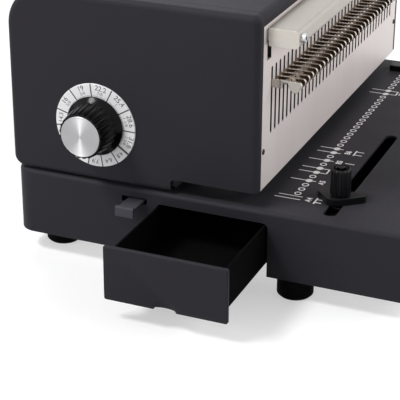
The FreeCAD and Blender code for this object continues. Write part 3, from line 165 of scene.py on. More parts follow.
class MachineColours(PropertyGroup):
    """Base colours of the finishes, as linear values."""
    body: colour("Powder coat", "Dark powder coat of the base and covers",
                 (0.0258, 0.0245, 0.0300))
    plate: colour("Front plate", "Brushed plate behind the hooks", (0.86, 0.785, 0.765))
    # The cut colour is painted shade: near black, it stands for the shade inside the front
    # plate's slits.
    cut: colour("Cut edges", "Cut edges of the front plate's slits", (0.012, 0.011, 0.011))
    nickel: colour("Nickel", "Bright plated hooks and bars", (0.68, 0.64, 0.585))
    # The flank colour is painted shade: it stands for the shade and dark reflections between
    # neighbouring hooks.
    flank: colour("Hook flank", "Darker stamped sides of the hooks", (0.175, 0.143, 0.113))
    steel: colour("Steel", "Ground steel inside the machine", (0.50, 0.50, 0.51))
    zinc: colour("Zinc", "Zinc plated frame and floor", (0.56, 0.57, 0.58))
    knob: colour("Knob", "Glossy black moulding of the size knob", (0.0025, 0.0025, 0.0030))
    cap: colour("Cap", "Spun metal cap of the size knob", (0.46, 0.455, 0.465))
    film: colour("Dial film", "White film of the size dial", (0.88, 0.87, 0.89))
    ink: colour("Ink", "Black ink of the dial", (0.012, 0.012, 0.014))
    grey_ink: colour("Grey ink", "Grey ink of the dial's second line", (0.20, 0.19, 0.21))
    mark: colour("Deck mark", "Pale ink of the marks on the deck", (0.98, 0.97, 0.98))
    rubber: colour("Rubber", "Black rubber of the feet and grip", (0.0025, 0.0025, 0.0028))
    screw: colour("Screw", "Blackened screws, stud and nut", (0.040, 0.037, 0.035))
    bronze: colour("Bronze", "Bronze of the shaft bushes", (0.42, 0.25, 0.11))
    stop: colour("Stop", "Dark moulding of the paper stops", (0.0050, 0.0050, 0.0060))
    floor: colour("Floor", "Pale studio floor", (0.60, 0.60, 0.60))


def sizes():
    return bpy.context.scene.machine_sizes


def colours():
    return bpy.context.scene.machine_colours


# ------------------------------------------------------------------ node helpers
WHITE = (1.0, 1.0, 1.0, 1.0)
BLACK = (0.0, 0.0, 0.0, 1.0)

# The Mix node has one set of sockets for each kind of value; these are its colour ones.
MIX_FACTOR, MIX_FIRST, MIX_SECOND, MIX_RESULT = 0, 6, 7, 2

# Kinds of the named sockets; every other name is a plain number.
SOCKET_KINDS = {
    "Vector": "Vector", "Colour": "Color", "Dust": "Color", "Piece": "Geometry",
    "Geometry": "Geometry", "Count": "Int", "Start": "Vector", "Step": "Vector",
    "Centre": "Vector", "Turn": "Vector", "Material": "Material",
}


def fill(tree, node, inputs):
    """Links or sets inputs of a node, by name or number."""
    for name, value in inputs.items():
        if isinstance(value, bpy.types.NodeSocket):
            tree.links.new(value, node.inputs[name])
        else:
            node.inputs[name].default_value = value


def add(tree, kind, inputs=None, **settings):
    """Adds a node with its settings and inputs."""
    node = tree.nodes.new(kind)
    for name, value in settings.items():
        setattr(node, name, value)
    fill(tree, node, inputs or {})
    return node


def maths(tree, operation, first, second=0.0, third=0.0):
    node = add(tree, "ShaderNodeMath", {0: first, 1: second, 2: third}, operation=operation)
    return node.outputs[0]


def product(tree, first, second):
    return maths(tree, "MULTIPLY", first, second)


def mixed(tree, factor, first, second, blend="MIX"):
    """Mix of two colours."""
    inputs = {MIX_FACTOR: factor, MIX_FIRST: first, MIX_SECOND: second}
    node = add(tree, "ShaderNodeMix", inputs, data_type="RGBA", blend_type=blend)
    return node.outputs[MIX_RESULT]


def ramp(tree, value, start, end):
    """0 up to the start of a range and 1 from its end."""
    node = add(tree, "ShaderNodeValToRGB", {"Fac": value})
    black, white = node.color_ramp.elements
    black.position, white.position = start, end
    return node.outputs["Color"]


def noise(tree, vector, scale, detail=3.0, roughness=0.55):
    node = add(tree, "ShaderNodeTexNoise", {"Vector": vector, "Scale": scale,
                                            "Detail": detail, "Roughness": roughness})
    return node.outputs["Fac"]


def part_of(tree, vector, axis):
    return add(tree, "ShaderNodeSeparateXYZ", {0: vector}).outputs[axis]


def facing(tree, axis):
    """How far the surface faces along an axis, from -1 to 1."""
    return part_of(tree, add(tree, "ShaderNodeNewGeometry").outputs["Normal"], axis)


def off_axis(tree, vector):
    """The vector without its part along X."""
    node = add(tree, "ShaderNodeVectorMath", {0: vector, 1: (0.0, 1.0, 1.0)},
               operation="MULTIPLY")
    return node.outputs[0]


def reach_of(tree, vector):
    return add(tree, "ShaderNodeVectorMath", {0: vector}, operation="LENGTH").outputs["Value"]


def node_group(name, family, inputs, outputs):
    """Empty node group with named inputs and outputs."""
    tree = bpy.data.node_groups.new(name, family)
    for direction, labels in (("INPUT", inputs), ("OUTPUT", outputs)):
        for label in labels:
            kind = "NodeSocket" + SOCKET_KINDS.get(label, "Float")
            tree.interface.new_socket(label, in_out=direction, socket_type=kind)
    given = tree.nodes.new("NodeGroupInput")
    return tree, given.outputs, tree.nodes.new("NodeGroupOutput")


def shared_group(build):
    """The node group that a function of the same name builds, made once."""
    return bpy.data.node_groups.get(build.__name__) or build()


def use(tree, build, **inputs):
    """Places a shared effect in a material with its own values."""
    return add(tree, "ShaderNodeGroup", inputs, node_tree=shared_group(build)).outputs


# ------------------------------------------------------------------ shared surface effects
def orange_peel():
    """Fine skin of a powder coat: specks of tone, small bumps and uneven gloss."""
    cloud_scale, speck_scale = 9.0, 1.7
    cloud_tone, speck_tone, cloud_gloss = 0.35, 0.25, 0.10
    cloud_lift, speck_lift = 0.55, 0.04
    tree, given, made = node_group("orange_peel", "ShaderNodeTree",
                                   ("Vector", "Colour", "Grain", "Roughness"),
                                   ("Colour", "Roughness", "Height"))
    vector, base, grain = given["Vector"], given["Colour"], given["Grain"]
    clouds = noise(tree, vector, cloud_scale, 2.0)
    specks = ramp(tree, noise(tree, vector, product(tree, grain, speck_scale), 1.0), 0.60, 0.78)
    pale = mixed(tree, cloud_lift, base, WHITE, "SOFT_LIGHT")
    toned = mixed(tree, product(tree, clouds, cloud_tone), base, pale)
    speckled = mixed(tree, product(tree, specks, speck_tone), toned,
                     mixed(tree, speck_lift, base, WHITE))
    uneven = maths(tree, "MULTIPLY_ADD", clouds, cloud_gloss, -cloud_gloss / 2)
    fill(tree, made, {"Colour": speckled, "Height": noise(tree, vector, grain, 2.0),
                      "Roughness": maths(tree, "ADD", given["Roughness"], uneven)})
    return tree


def handling_marks():
    """Dust on faces that look up, and faint smudges that dull the gloss."""
    smudge_scale, dust_scale = 38.0, 420.0
    most_dust, most_smudge = 0.12, 0.18
    tree, given, made = node_group("handling_marks", "ShaderNodeTree",
                                   ("Vector", "Colour", "Roughness", "Amount", "Dust"),
                                   ("Colour", "Roughness"))
    vector, amount = given["Vector"], given["Amount"]
    smudge = ramp(tree, noise(tree, vector, smudge_scale, 4.0, 0.6), 0.45, 0.75)
    upward = maths(tree, "MAXIMUM", facing(tree, "Z"), 0.0)
    settled = product(tree, upward, noise(tree, vector, dust_scale))
    dusty = product(tree, settled, product(tree, amount, most_dust))
    dull = product(tree, smudge, product(tree, amount, most_smudge))
    fill(tree, made, {"Colour": mixed(tree, dusty, given["Colour"], given["Dust"]),
                      "Roughness": maths(tree, "ADD", given["Roughness"], dull)})
    return tree


def grain_group(name):
    """Empty group for a metal's grain."""
    return node_group(name, "ShaderNodeTree",
                      ("Vector", "Colour", "Grain", "Roughness", "Contrast"),
                      ("Colour", "Roughness", "Height"))


def finish_grain(tree, given, made, pattern, height, gloss_swing):
    """Ends a grain group: the pattern swings the colour and the roughness."""
    swing = product(tree, maths(tree, "SUBTRACT", pattern, 0.5), given["Contrast"])
    tone = maths(tree, "ADD", swing, 0.5)
    grey = add(tree, "ShaderNodeCombineColor", {0: tone, 1: tone, 2: tone}).outputs[0]
    uneven = product(tree, swing, gloss_swing)
    fill(tree, made, {"Colour": mixed(tree, 1.0, given["Colour"], grey, "OVERLAY"),
                      "Roughness": maths(tree, "ADD", given["Roughness"], uneven),
                      "Height": height})
    return tree


def drawn_grain():
    """Straight brushed grain; the vector is squeezed along the grain before it comes in."""
    fine_share, broad_share, broad_scale = 0.6, 0.4, 0.12
    tree, given, made = grain_group("drawn_grain")
    vector, grain = given["Vector"], given["Grain"]
    lines = noise(tree, vector, grain, 4.0, 0.7)
    broad = noise(tree, vector, product(tree, grain, broad_scale), 2.0)
    both = maths(tree, "MULTIPLY_ADD", lines, fine_share, product(tree, broad, broad_share))
    return finish_grain(tree, given, made, both, lines, 0.35)


def turned_grain():
    """Rings of a lathe cut round the X axis; the vector is centred before it comes in."""
    tree, given, made = grain_group("turned_grain")
    radius = reach_of(tree, off_axis(tree, given["Vector"]))
    line = add(tree, "ShaderNodeCombineXYZ", {"X": radius}).outputs[0]
    rings = noise(tree, line, given["Grain"], 3.0, 0.7)
    return finish_grain(tree, given, made, rings, rings, 0.3)


# ------------------------------------------------------------------ finishes
# A finish function builds its nodes and returns the inputs of the material's shader.
# Depths are those of the surface's bumps, in metres.
DUST = (0.35, 0.34, 0.34, 1.0)
PEEL_GRAIN, PEEL_DEPTH = 1500.0, 0.00006
GRAIN_DEPTH = 0.00002
PLATING_GRAIN, PLATING_DEPTH = 1900.0, 0.00001
TEXTURE_DEPTH = 0.00005
PRINT_GRAIN = 1300.0
HOOK_FACE = 0.5      # from the hook row's end faces in to where a side has a neighbour
SLIT_MARGIN = 2.0    # from those faces out to past the outermost slits


def blank_material(name):
    material = bpy.data.materials.new(name)
    material.use_nodes = True
    tree = material.node_tree
    tree.nodes.clear()
    shader = tree.nodes.new("ShaderNodeBsdfPrincipled")
    add(tree, "ShaderNodeOutputMaterial", {"Surface": shader.outputs[0]})
    return material, tree, shader


def place_vector(tree, centre=(0.0, 0.0, 0.0), scale=(1.0, 1.0, 1.0)):
    """Object coordinates, centred and stretched."""
    source = add(tree, "ShaderNodeTexCoord").outputs["Object"]
    node = add(tree, "ShaderNodeMapping", {"Vector": source, "Scale": scale,
                                           "Location": [-c * s for c, s in zip(centre, scale)]})
    return node.outputs[0]


def bumped(tree, height, distance, strength):
    """Normal of a surface with that height."""
    node = add(tree, "ShaderNodeBump", {"Height": height, "Distance": distance,
                                        "Strength": strength})
    return node.outputs[0]


def shade(value, gain):
    """A lighter or darker colour."""
    return tuple(part * gain for part in value)


def rgba(value, gain=1.0):
    return (*shade(value, gain), 1.0)


def handled(tree, vector, colour, roughness, amount=0.3):
    """Colour and roughness with the marks of use over them."""
    worn = use(tree, handling_marks, Vector=vector, Colour=colour, Roughness=roughness,
               Amount=amount, Dust=DUST)
    return {"Base Color": worn["Colour"], "Roughness": worn["Roughness"]}


def facing_x(tree):
    """1 on surfaces that face along X, 0 on all others."""
    return ramp(tree, maths(tree, "ABSOLUTE", facing(tree, "X")), 0.70, 0.92)


def inside_span(tree, vector, span):
    """1 between two places along X, 0 outside them."""
    x = part_of(tree, vector, "X")
    return product(tree, maths(tree, "GREATER_THAN", x, span[0]),
                   maths(tree, "LESS_THAN", x, span[1]))


def hook_span(inset):
    """Places along X, in metres, that far inside the hook row's two outer faces."""
    low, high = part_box("wire_hooks")
    return low.x + inset * MM, high.x - inset * MM


def powder_coat(tree, value, roughness=0.46, marks=0.35, gloss=0.05):
    vector = place_vector(tree)
    peel = use(tree, orange_peel, Vector=vector, Colour=rgba(value), Grain=PEEL_GRAIN,
               Roughness=roughness)
    return handled(tree, vector, peel["Colour"], peel["Roughness"], marks) | {
        "Specular IOR Level": gloss,
        "Normal": bumped(tree, peel["Height"], PEEL_DEPTH, 0.5)}


def drawn_metal(tree, value, squeeze, roughness, grain, contrast, metallic=1.0):
    """Brushed metal, drawn along the axis whose scale is squeezed."""
    lines = use(tree, drawn_grain, Vector=place_vector(tree, scale=squeeze),
                Colour=rgba(value), Grain=grain, Roughness=roughness, Contrast=contrast)
    return handled(tree, place_vector(tree), lines["Colour"], lines["Roughness"], 0.25) | {
        "Metallic": metallic, "Normal": bumped(tree, lines["Height"], GRAIN_DEPTH, 0.4)}


def slit_metal(tree, cut, span, **drawn):
    """Drawn metal with painted shade in the slits: their walls, which face along X inside the
    span, take the near-black cut colour.
    """
    inputs = drawn_metal(tree, **drawn)
    edge = product(tree, facing_x(tree), inside_span(tree, place_vector(tree), span))
    return inputs | {"Base Color": mixed(tree, edge, inputs["Base Color"], rgba(cut))}


def turned_metal(tree, value, centre, roughness, grain, contrast, anisotropy=0.0):
    """Lathe-turned metal; with anisotropy its gleam spreads along the spokes."""
    rings = use(tree, turned_grain, Vector=place_vector(tree, centre), Colour=rgba(value),
                Grain=grain, Roughness=roughness, Contrast=contrast)
    inputs = {"Base Color": rings["Colour"], "Roughness": rings["Roughness"],
              "Metallic": 1.0, "Normal": bumped(tree, rings["Height"], GRAIN_DEPTH, 0.3)}
    if anisotropy:
        spoke = off_axis(tree, place_vector(tree, centre))
        tangent = add(tree, "ShaderNodeVectorTransform", {"Vector": spoke},
                      vector_type="VECTOR", convert_from="OBJECT", convert_to="WORLD")
        inputs |= {"Anisotropic": anisotropy, "Tangent": tangent.outputs[0]}
    return inputs


def plating(tree, vector, colour, roughness):
    """Bright plating over a colour."""
    skin = noise(tree, vector, PLATING_GRAIN, 2.0)
    return handled(tree, vector, colour, roughness) | {
        "Metallic": 1.0, "Normal": bumped(tree, skin, PLATING_DEPTH, 0.3)}


def plated_metal(tree, value, roughness, cloud=0.12):
    """Bright plating with slightly uneven gloss and a faint mottled tone."""
    vector = place_vector(tree)
    mottle = product(tree, noise(tree, vector, 210.0), cloud * 4)
    return plating(tree, vector, mixed(tree, mottle, rgba(value), rgba(value, 0.78)),
                   roughness)


def flanked_metal(tree, value, flank, span, roughness):
    """Bright plating with painted shade: sides that face along X are darker, and the wide sides
    that face a neighbour take the dark flank colour.
    """
    vector = place_vector(tree)
    side = facing_x(tree)
    inner = product(tree, side, inside_span(tree, vector, span))
    mottle = noise(tree, vector, 260.0)
    bright = mixed(tree, mottle, rgba(value), rgba(value, 0.7))
    # Painted shade: the row's two end faces at half the plating's tone.
    outer = mixed(tree, side, bright, rgba(value, 0.50))
    # Painted shade between the hooks: the flank colour, mottled.
    dark = mixed(tree, mottle, rgba(flank), rgba(flank, 2.2))
    return plating(tree, vector, mixed(tree, inner, outer, dark), roughness)


def moulded(tree, value, roughness, gloss, grain=0.0):
    """Moulded plastic or rubber, with an optional fine texture."""
    vector = place_vector(tree)
    toned = mixed(tree, noise(tree, vector, 60.0), rgba(value), rgba(value, 1.35))
    inputs = handled(tree, vector, toned, roughness) | {"Specular IOR Level": gloss}
    if grain:
        texture = noise(tree, vector, grain, 2.0)
        inputs["Normal"] = bumped(tree, texture, TEXTURE_DEPTH, 0.5)
    return inputs


def printed(tree, value, roughness):
    """Screen-printed ink: slightly thin in places."""
    thin = ramp(tree, noise(tree, place_vector(tree), PRINT_GRAIN, 2.0), 0.35, 0.65)
    return {"Base Color": mixed(tree, product(tree, thin, 0.35), rgba(value), rgba(value, 0.8)),
            "Roughness": maths(tree, "MULTIPLY_ADD", thin, 0.08, roughness)}


def recipes(tree):
    """How each named finish is made in a material's tree."""
    tone = colours()
    centre = at(*DIAL_AXIS)
    along_x, along_z = (0.03, 1.0, 1.0), (1.0, 1.0, 0.02)
    return {
        "powder_coat": lambda: powder_coat(tree, tone.body),
        # Painted shade: the body's powder coat at six hundredths of its tone, nearly black, for
        # the drawer's tray, which lies in shade.
        "shaded_powder_coat": lambda: powder_coat(tree, shade(tone.body, 0.06),
                                                  roughness=0.8, marks=0.1, gloss=0.02),
        # Painted highlight: the body's powder coat two and a half times lighter, standing for
        # the lit top of the depth lever.
        "lit_lever_coat": lambda: powder_coat(tree, shade(tone.body, 2.5), roughness=0.4),
        # The front plate, with painted shade on the walls of its slits.
        "brushed_plate": lambda: slit_metal(
            tree, tone.cut, hook_span(-SLIT_MARGIN), value=tone.plate, squeeze=along_z,
            roughness=0.46, grain=520.0, contrast=0.22, metallic=0.35),
        "nickel_plate": lambda: plated_metal(tree, tone.nickel, roughness=0.16),
        "satin_nickel": lambda: plated_metal(tree, shade(tone.nickel, 0.72), roughness=0.42),
        # Hooks with painted shade on their sides.
        "hook_nickel": lambda: flanked_metal(tree, tone.nickel, tone.flank,
                                             hook_span(HOOK_FACE), roughness=0.16),
        "ground_steel": lambda: drawn_metal(tree, tone.steel, along_x, roughness=0.32,
                                            grain=700.0, contrast=0.3),
        "zinc_plate": lambda: plated_metal(tree, tone.zinc, roughness=0.38, cloud=0.2),
        "gloss_black": lambda: moulded(tree, tone.knob, roughness=0.16, gloss=0.10),
        "sunray_metal": lambda: turned_metal(tree, tone.cap, centre, roughness=0.48,
                                             grain=5200.0, contrast=0.18, anisotropy=0.92),
        "turned_steel": lambda: turned_metal(tree, tone.steel, centre, roughness=0.3,
                                             grain=2500.0, contrast=0.2),
        "dial_film": lambda: printed(tree, tone.film, roughness=0.32),
        "black_ink": lambda: printed(tree, tone.ink, roughness=0.35),
        "grey_ink": lambda: printed(tree, tone.grey_ink, roughness=0.35),
        "pale_ink": lambda: printed(tree, tone.mark, roughness=0.5),
        "soft_rubber": lambda: moulded(tree, tone.rubber, roughness=0.6, gloss=0.02,
                                       grain=1700.0),
        "black_screw": lambda: plated_metal(tree, tone.screw, roughness=0.3, cloud=0.2),
        "bearing_bronze": lambda: plated_metal(tree, tone.bronze, roughness=0.34, cloud=0.2),
        "satin_stop": lambda: moulded(tree, tone.stop, roughness=0.30, gloss=0.12,
                                      grain=2600.0),
    }


def make_finish(key):
    """The material of one named finish."""
    material, tree, shader = blank_material(key)
    fill(tree, shader, recipes(tree)[key]())
    return material


def finish(key):
    return bpy.data.materials.get(key) or make_finish(key)


# ------------------------------------------------------------------ mesh helpers
SAME_PLACE = 1e-6      # metres under which a node's points are one
FLAT_ANGLE = 0.15      # degrees under which a node's triangles are one face
BEVEL_STEPS = 2
ROUND_STEPS = 5        # steps round each rounded corner of an outline
FILM = 0.05            # thickness of print
CAPITAL_SHARE = 0.72   # height of a capital letter as a share of its font size
LETTER_STEPS = 4


def smoothed(mesh, degrees=32.0):
    """Smooth shading; edges of more than that angle stay sharp."""
    mesh.shade_smooth()
    mesh.set_sharp_from_angle(angle=math.radians(degrees))
    return mesh


def mesh_from(shape, name):
    """Turns a bmesh into a mesh and frees it."""
    mesh = bpy.data.meshes.new(name)
    shape.to_mesh(mesh)
    shape.free()
    return mesh


def outward_mesh(shape, name):
    """Mesh of closed pieces, their faces turned outwards."""
    bmesh.ops.recalc_face_normals(shape, faces=shape.faces)
    return mesh_from(shape, name)


def working_object(name, mesh):
    helper = bpy.data.objects.new(name, mesh)
    bpy.context.scene.collection.objects.link(helper)
    return helper


def plain_mesh(helper):
    """The helper's evaluated mesh; the helper and its modifiers go."""
    graph = bpy.context.evaluated_depsgraph_get()
    mesh = bpy.data.meshes.new_from_object(helper.evaluated_get(graph),
                                           preserve_all_data_layers=True, depsgraph=graph)
    bpy.data.objects.remove(helper)
    return mesh


def shown(name, mesh, key, body, replaced=()):
    """The finished piece: its place is in its mesh, and it rides on a body."""
    piece = working_object(name, mesh)
    mesh.materials.clear()
    mesh.materials.append(finish(key))
    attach(piece, body)
    if replaced:
        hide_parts(*replaced)
    return piece


def merged_node(node):
    """A node's loose triangles, merged into one surface with flat faces joined."""
    shape = bmesh.new()
    shape.from_mesh(frame["nodes"][node].data)
    bmesh.ops.remove_doubles(shape, verts=shape.verts, dist=SAME_PLACE)
    bmesh.ops.dissolve_limit(shape, angle_limit=math.radians(FLAT_ANGLE), verts=shape.verts,
                             edges=shape.edges)
    return shape


def broken_edges(mesh, width, degrees=40.0):
    """The mesh with its sharp edges bevelled."""
    helper = working_object("bevelled", smoothed(mesh))
    bevel = helper.modifiers.new("Edge", "BEVEL")
    bevel.width = width
    bevel.segments = BEVEL_STEPS
    bevel.limit_method = "ANGLE"
    bevel.angle_limit = math.radians(degrees)
    bevel.use_clamp_overlap = True
    bevel.harden_normals = True
    return plain_mesh(helper)


def dressed(node, key, edge=0.0):
    """A node's own shape, smoothed and with broken edges, in place of the node."""
    mesh = mesh_from(merged_node(node), node + "_finish")
    mesh = broken_edges(mesh, edge) if edge else smoothed(mesh)
    return shown(node + "_finish", mesh, key, frame["nodes"][node]["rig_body"], (node,))


def painted(node, key):
    """Gives a node that stays as it is a better material."""
    slots = frame["nodes"][node].data.materials
    slots.clear()
    slots.append(finish(key))


def circle(steps):
    """Cosine and sine of evenly spaced angles."""
    angles = [2 * math.pi * i / steps for i in range(steps)]
    return [(math.cos(angle), math.sin(angle)) for angle in angles]


def rounded(corners, closed=True):
    """Points of an outline through (u, w, radius) corners, with each corner rounded."""
    points = []
    count = len(corners)
    for i, (u, w, radius) in enumerate(corners):
        here = Vector((u, w))
        if radius == 0 or (not closed and i in (0, count - 1)):
            points.append(here)
            continue
        back = (Vector(corners[i - 1][:2]) - here).normalized()
        ahead = (Vector(corners[(i + 1) % count][:2]) - here).normalized()
        half = back.angle(ahead) / 2
        trim = radius / math.tan(half)
        start, end = here + back * trim, here + ahead * trim
        centre = here + (back + ahead).normalized() * (radius / math.sin(half))
        first, last = start - centre, end - centre
        swing = first.angle_signed(last)
        for k in range(ROUND_STEPS + 1):
            points.append(centre + Matrix.Rotation(-swing * k / ROUND_STEPS, 2) @ first)
    return points


def divided(outline, reach, inner=0.0):
    """A closed outline in steps of about that length wherever w is over inner."""
    points = []
    for start, end in zip(outline, outline[1:] + outline[:1]):
        pieces = max(1, int((end - start).length / reach)) if start.y > inner else 1
        points += [start.lerp(end, i / pieces) for i in range(pieces)]
    return points


def join_loops(shape, first, second):
    """Faces between two loops of vertices; a loop of one vertex is a pole."""
    if len(first) == 1 and len(second) == 1:
        return
    count = max(len(first), len(second))
    for i in range(count):
        k = (i + 1) % count
        corners = []
        for loop, picks in ((first, (i, k)), (second, (k, i))):
            corners += [loop[0]] if len(loop) == 1 else [loop[p] for p in picks]
        shape.faces.new(corners)


def lofted(rows, ends):
    """Outward surface through rows of points in metres.

    Its ends are "joined" to each other, "capped", or left "open" where they are poles.
    """
    shape = bmesh.new()
    loops = [[shape.verts.new(point) for point in row] for row in rows]
    for first, second in zip(loops, loops[1:]):
        join_loops(shape, first, second)
    if ends == "joined":
        join_loops(shape, loops[-1], loops[0])
    elif ends == "capped":
        shape.faces.new(loops[-1])
        shape.faces.new(loops[0])
    bmesh.ops.recalc_face_normals(shape, faces=shape.faces)
    if shape.calc_volume(signed=True) < 0:
        bmesh.ops.reverse_faces(shape, faces=shape.faces)
    return shape


def turned(outline, axis, steps, ends="joined", shaped=None, sweep=math.tau):
    """Surface of revolution about X or Z through (along, radius) points in millimetres.

    shaped(along, radius, angle) may change a point's radius, as flutes do. A sweep of less
    than a full turn is closed by a wall straight through from its last side to its first.
    """
    around = steps if sweep == math.tau else steps + 1
    rows = []
    for along, radius in outline:
        row = []
        for i in range(around if radius else 1):
            angle = sweep * i / steps
            reach = shaped(along, radius, angle) if shaped else radius
            across = (reach * math.cos(angle), reach * math.sin(angle))
            place = (along, *across) if axis == "X" else (*across, along)
            row.append(millimetres(*place))
        rows.append(row)
    return lofted(rows, ends)


def raised(shape, outline, lift):
    """Adds a thin flat piece: the outline's points, and the same points lifted."""
    low = [shape.verts.new(p) for p in outline]
    high = [shape.verts.new(p + lift) for p in outline]
    shape.faces.new(list(reversed(low)))
    shape.faces.new(high)
    join_loops(shape, low, high)


def bar_between(start, end, width, normal):
    """Four corners of a flat bar of that width from start to end."""
    along = (end - start).normalized()
    across = along.cross(normal).normalized() * width / 2
    return [start - across, end - across, end + across, start + across]


def lettering(text, height, place, boldness=0.0):
    """Mesh of a short label of that height, set by a matrix."""
    curve = bpy.data.curves.new("label", "FONT")
    curve.body = text
    curve.offset = boldness
    curve.size = height / CAPITAL_SHARE
    curve.align_x = "CENTER"
    curve.align_y = "CENTER"
    curve.resolution_u = LETTER_STEPS
    curve.extrude = FILM * MM / 2
    mesh = plain_mesh(working_object("label", curve))
    mesh.transform(place)
    return mesh


def gathered(meshes, name):
    """One mesh out of several."""
    shape = bmesh.new()
    for mesh in meshes:
        shape.from_mesh(mesh)
    return mesh_from(shape, name)


# ------------------------------------------------------------------ repeating pieces
def finish_copies(tree, given, made, copies):
    """Ends a repeating tree: real geometry, merged if the tree has a Merge, and material."""
    solid = add(tree, "GeometryNodeRealizeInstances", {0: copies.outputs[0]}).outputs[0]
    if "Merge" in given:
        solid = add(tree, "GeometryNodeMergeByDistance",
                    {"Geometry": solid, "Distance": given["Merge"]}).outputs[0]
    coated = add(tree, "GeometryNodeSetMaterial",
                 {"Geometry": solid, "Material": given["Material"]})
    fill(tree, made, {"Geometry": coated.outputs[0]})
    return tree


def row_of_pieces():
    """Copies of a piece along a straight line."""
    tree, given, made = node_group("row_of_pieces", "GeometryNodeTree",
                                   ("Piece", "Count", "Start", "Step", "Material"),
                                   ("Geometry",))
    line = add(tree, "GeometryNodeMeshLine", {"Count": given["Count"], "Offset": given["Step"],
                                              "Start Location": given["Start"]})
    copies = add(tree, "GeometryNodeInstanceOnPoints",
                 {"Points": line.outputs[0], "Instance": given["Piece"]})
    return finish_copies(tree, given, made, copies)


def ring_of_pieces():
    """Copies of a piece turned round a centre, merged where they meet."""
    tree, given, made = node_group("ring_of_pieces", "GeometryNodeTree",
                                   ("Piece", "Count", "Centre", "Turn", "Merge", "Material"),
                                   ("Geometry",))
    line = add(tree, "GeometryNodeMeshLine", {"Count": given["Count"],
                                              "Start Location": given["Centre"],
                                              "Offset": (0.0, 0.0, 0.0)})
    index = add(tree, "GeometryNodeInputIndex").outputs[0]
    turn = add(tree, "ShaderNodeVectorMath", {0: given["Turn"], "Scale": index},
               operation="SCALE")
    copies = add(tree, "GeometryNodeInstanceOnPoints",
                 {"Points": line.outputs[0], "Instance": given["Piece"],
                  "Rotation": turn.outputs[0]})
    return finish_copies(tree, given, made, copies)


def repeated(mesh, build, key, **inputs):
    """Runs a repeating tree on a piece's mesh and returns the plain result."""
    tree = shared_group(build)
    helper = working_object("repeat", mesh)
    modifier = helper.modifiers.new("Repeat", "NODES")
    modifier.node_group = tree
    values = {"Material": finish(key), **inputs}
    for item in tree.interface.items_tree:
        if item.in_out == "INPUT" and item.name in values:
            modifier[item.identifier] = values[item.name]
    return plain_mesh(helper)


# ------------------------------------------------------------------ screws
# Shares are of the head's radius across a screw and of its height along it.
CROSS_STEPS = 32
DOME_ROWS = 7            # rows of points from the rim of a domed head to its middle
DOME_FOOT = 0.25         # height of the dome's rim
DOME_SPREAD = 0.93       # how far the rows go to the middle of the dome
RECESS_ARM = 0.62        # half length, half width and depth of the cross
RECESS_SLOT = 0.17
RECESS_DEPTH = 0.45
SOCKET_STEPS = 48
CHAMFER_FOOT = 0.85      # where a cap head's chamfer starts, and its radius at the top
CHAMFER_TOP = 0.9
HEXAGON_REACH = 0.52     # reach of the socket's corners, and height of its floor
SOCKET_FLOOR = 0.35
SOCKET_MOUTH = 1.12      # radius of the socket's mouth as a share of the hexagon's reach


def clockwise(steps):
    """Cosine and sine of evenly spaced angles, clockwise as a screw's head is seen."""
    return [(-c, s) for c, s in circle(steps)]


def shank_rows(outline, steps):
    """Rows of points round Y through (height, radius) points in millimetres."""
    return [[millimetres(radius * c, -height, radius * s) for c, s in clockwise(steps)]
            for height, radius in outline]


def cross_screw(radius, height, shank, length):
    """Domed screw with a cross recess, facing -Y, the foot of its head on the XZ plane."""
    arm, slot = radius * RECESS_ARM, radius * RECESS_SLOT
    rows = shank_rows([(-length, shank), (0, shank), (0, radius)], CROSS_STEPS)
    for k in range(DOME_ROWS):
        turn = k / (DOME_ROWS - 1) * math.pi / 2
        reach = radius * math.cos(turn * DOME_SPREAD)
        rise = height * (DOME_FOOT + (1 - DOME_FOOT) * math.sin(turn))
        row = []
        for c, s in clockwise(CROSS_STEPS):
            x, z = reach * c, reach * s
            sunk = (abs(x) < slot and abs(z) < arm) or (abs(z) < slot and abs(x) < arm)
            row.append(millimetres(x, height * RECESS_DEPTH * sunk - rise, z))
        rows.append(row)
    return lofted(rows, "capped")


def socket_screw(radius, height, shank, length):
    """Cap screw with a hexagon socket, facing -Y, the foot of its head on the XZ plane."""
    sixth = math.pi / 3
    hexagon = radius * HEXAGON_REACH
    rows = shank_rows([(-length, shank), (0, shank), (0, radius),
                       (height * CHAMFER_FOOT, radius), (height, radius * CHAMFER_TOP),
                       (height, hexagon * SOCKET_MOUTH)], SOCKET_STEPS)
    for depth in (height, height * SOCKET_FLOOR):
        row = []
        for i, (c, s) in enumerate(clockwise(SOCKET_STEPS)):
            face = (math.tau * i / SOCKET_STEPS + sixth / 2) % sixth - sixth / 2
            reach = hexagon * math.cos(sixth / 2) / math.cos(face)
            row.append(millimetres(reach * c, -depth, reach * s))
        rows.append(row)
    return lofted(rows, "capped")


def screw_pair(name, node, make_screw, shank, foot, key, body):
    """Two like screws in place of their node, the feet of their heads at that Y."""
    low, high = machine_box(node)
    radius = radius_of(node)
    screw = make_screw(radius, foot - low.y, shank, high.y - foot)
    screws = repeated(smoothed(mesh_from(screw, name)), row_of_pieces, key, Count=2,
                      Start=at(low.x + radius, foot, (low.z + high.z) / 2),
                      Step=millimetres(high.x - low.x - 2 * radius, 0, 0))
    shown(name, screws, key, body, (node,))


# ------------------------------------------------------------------ the pieces
PLATE_SCREW_SHANK = 1.1
PRESS_SCREW_SHANK = 2.0
HOOK_ANGLE = 50.0      # degrees over which an edge of a hook is bevelled


class Piece(Operator):
    """Shared settings of the operators that build pieces."""
    bl_options = {"REGISTER"}


class BINDING_OT_base(Piece):
    """Base tray, floor, runners, feet and their screws"""
    bl_idname = "binding.base"
    bl_label = "Base"

    def execute(self, context):
        dressed("base_shell", "powder_coat", sizes().sheet_edge)
        dressed("base_floor", "zinc_plate", sizes().sheet_edge)
        dressed("drawer_runners", "zinc_plate", sizes().sheet_edge)
        dressed("rubber_feet", "soft_rubber", sizes().edge)
        dressed("foot_screws", "zinc_plate")
        return {"FINISHED"}


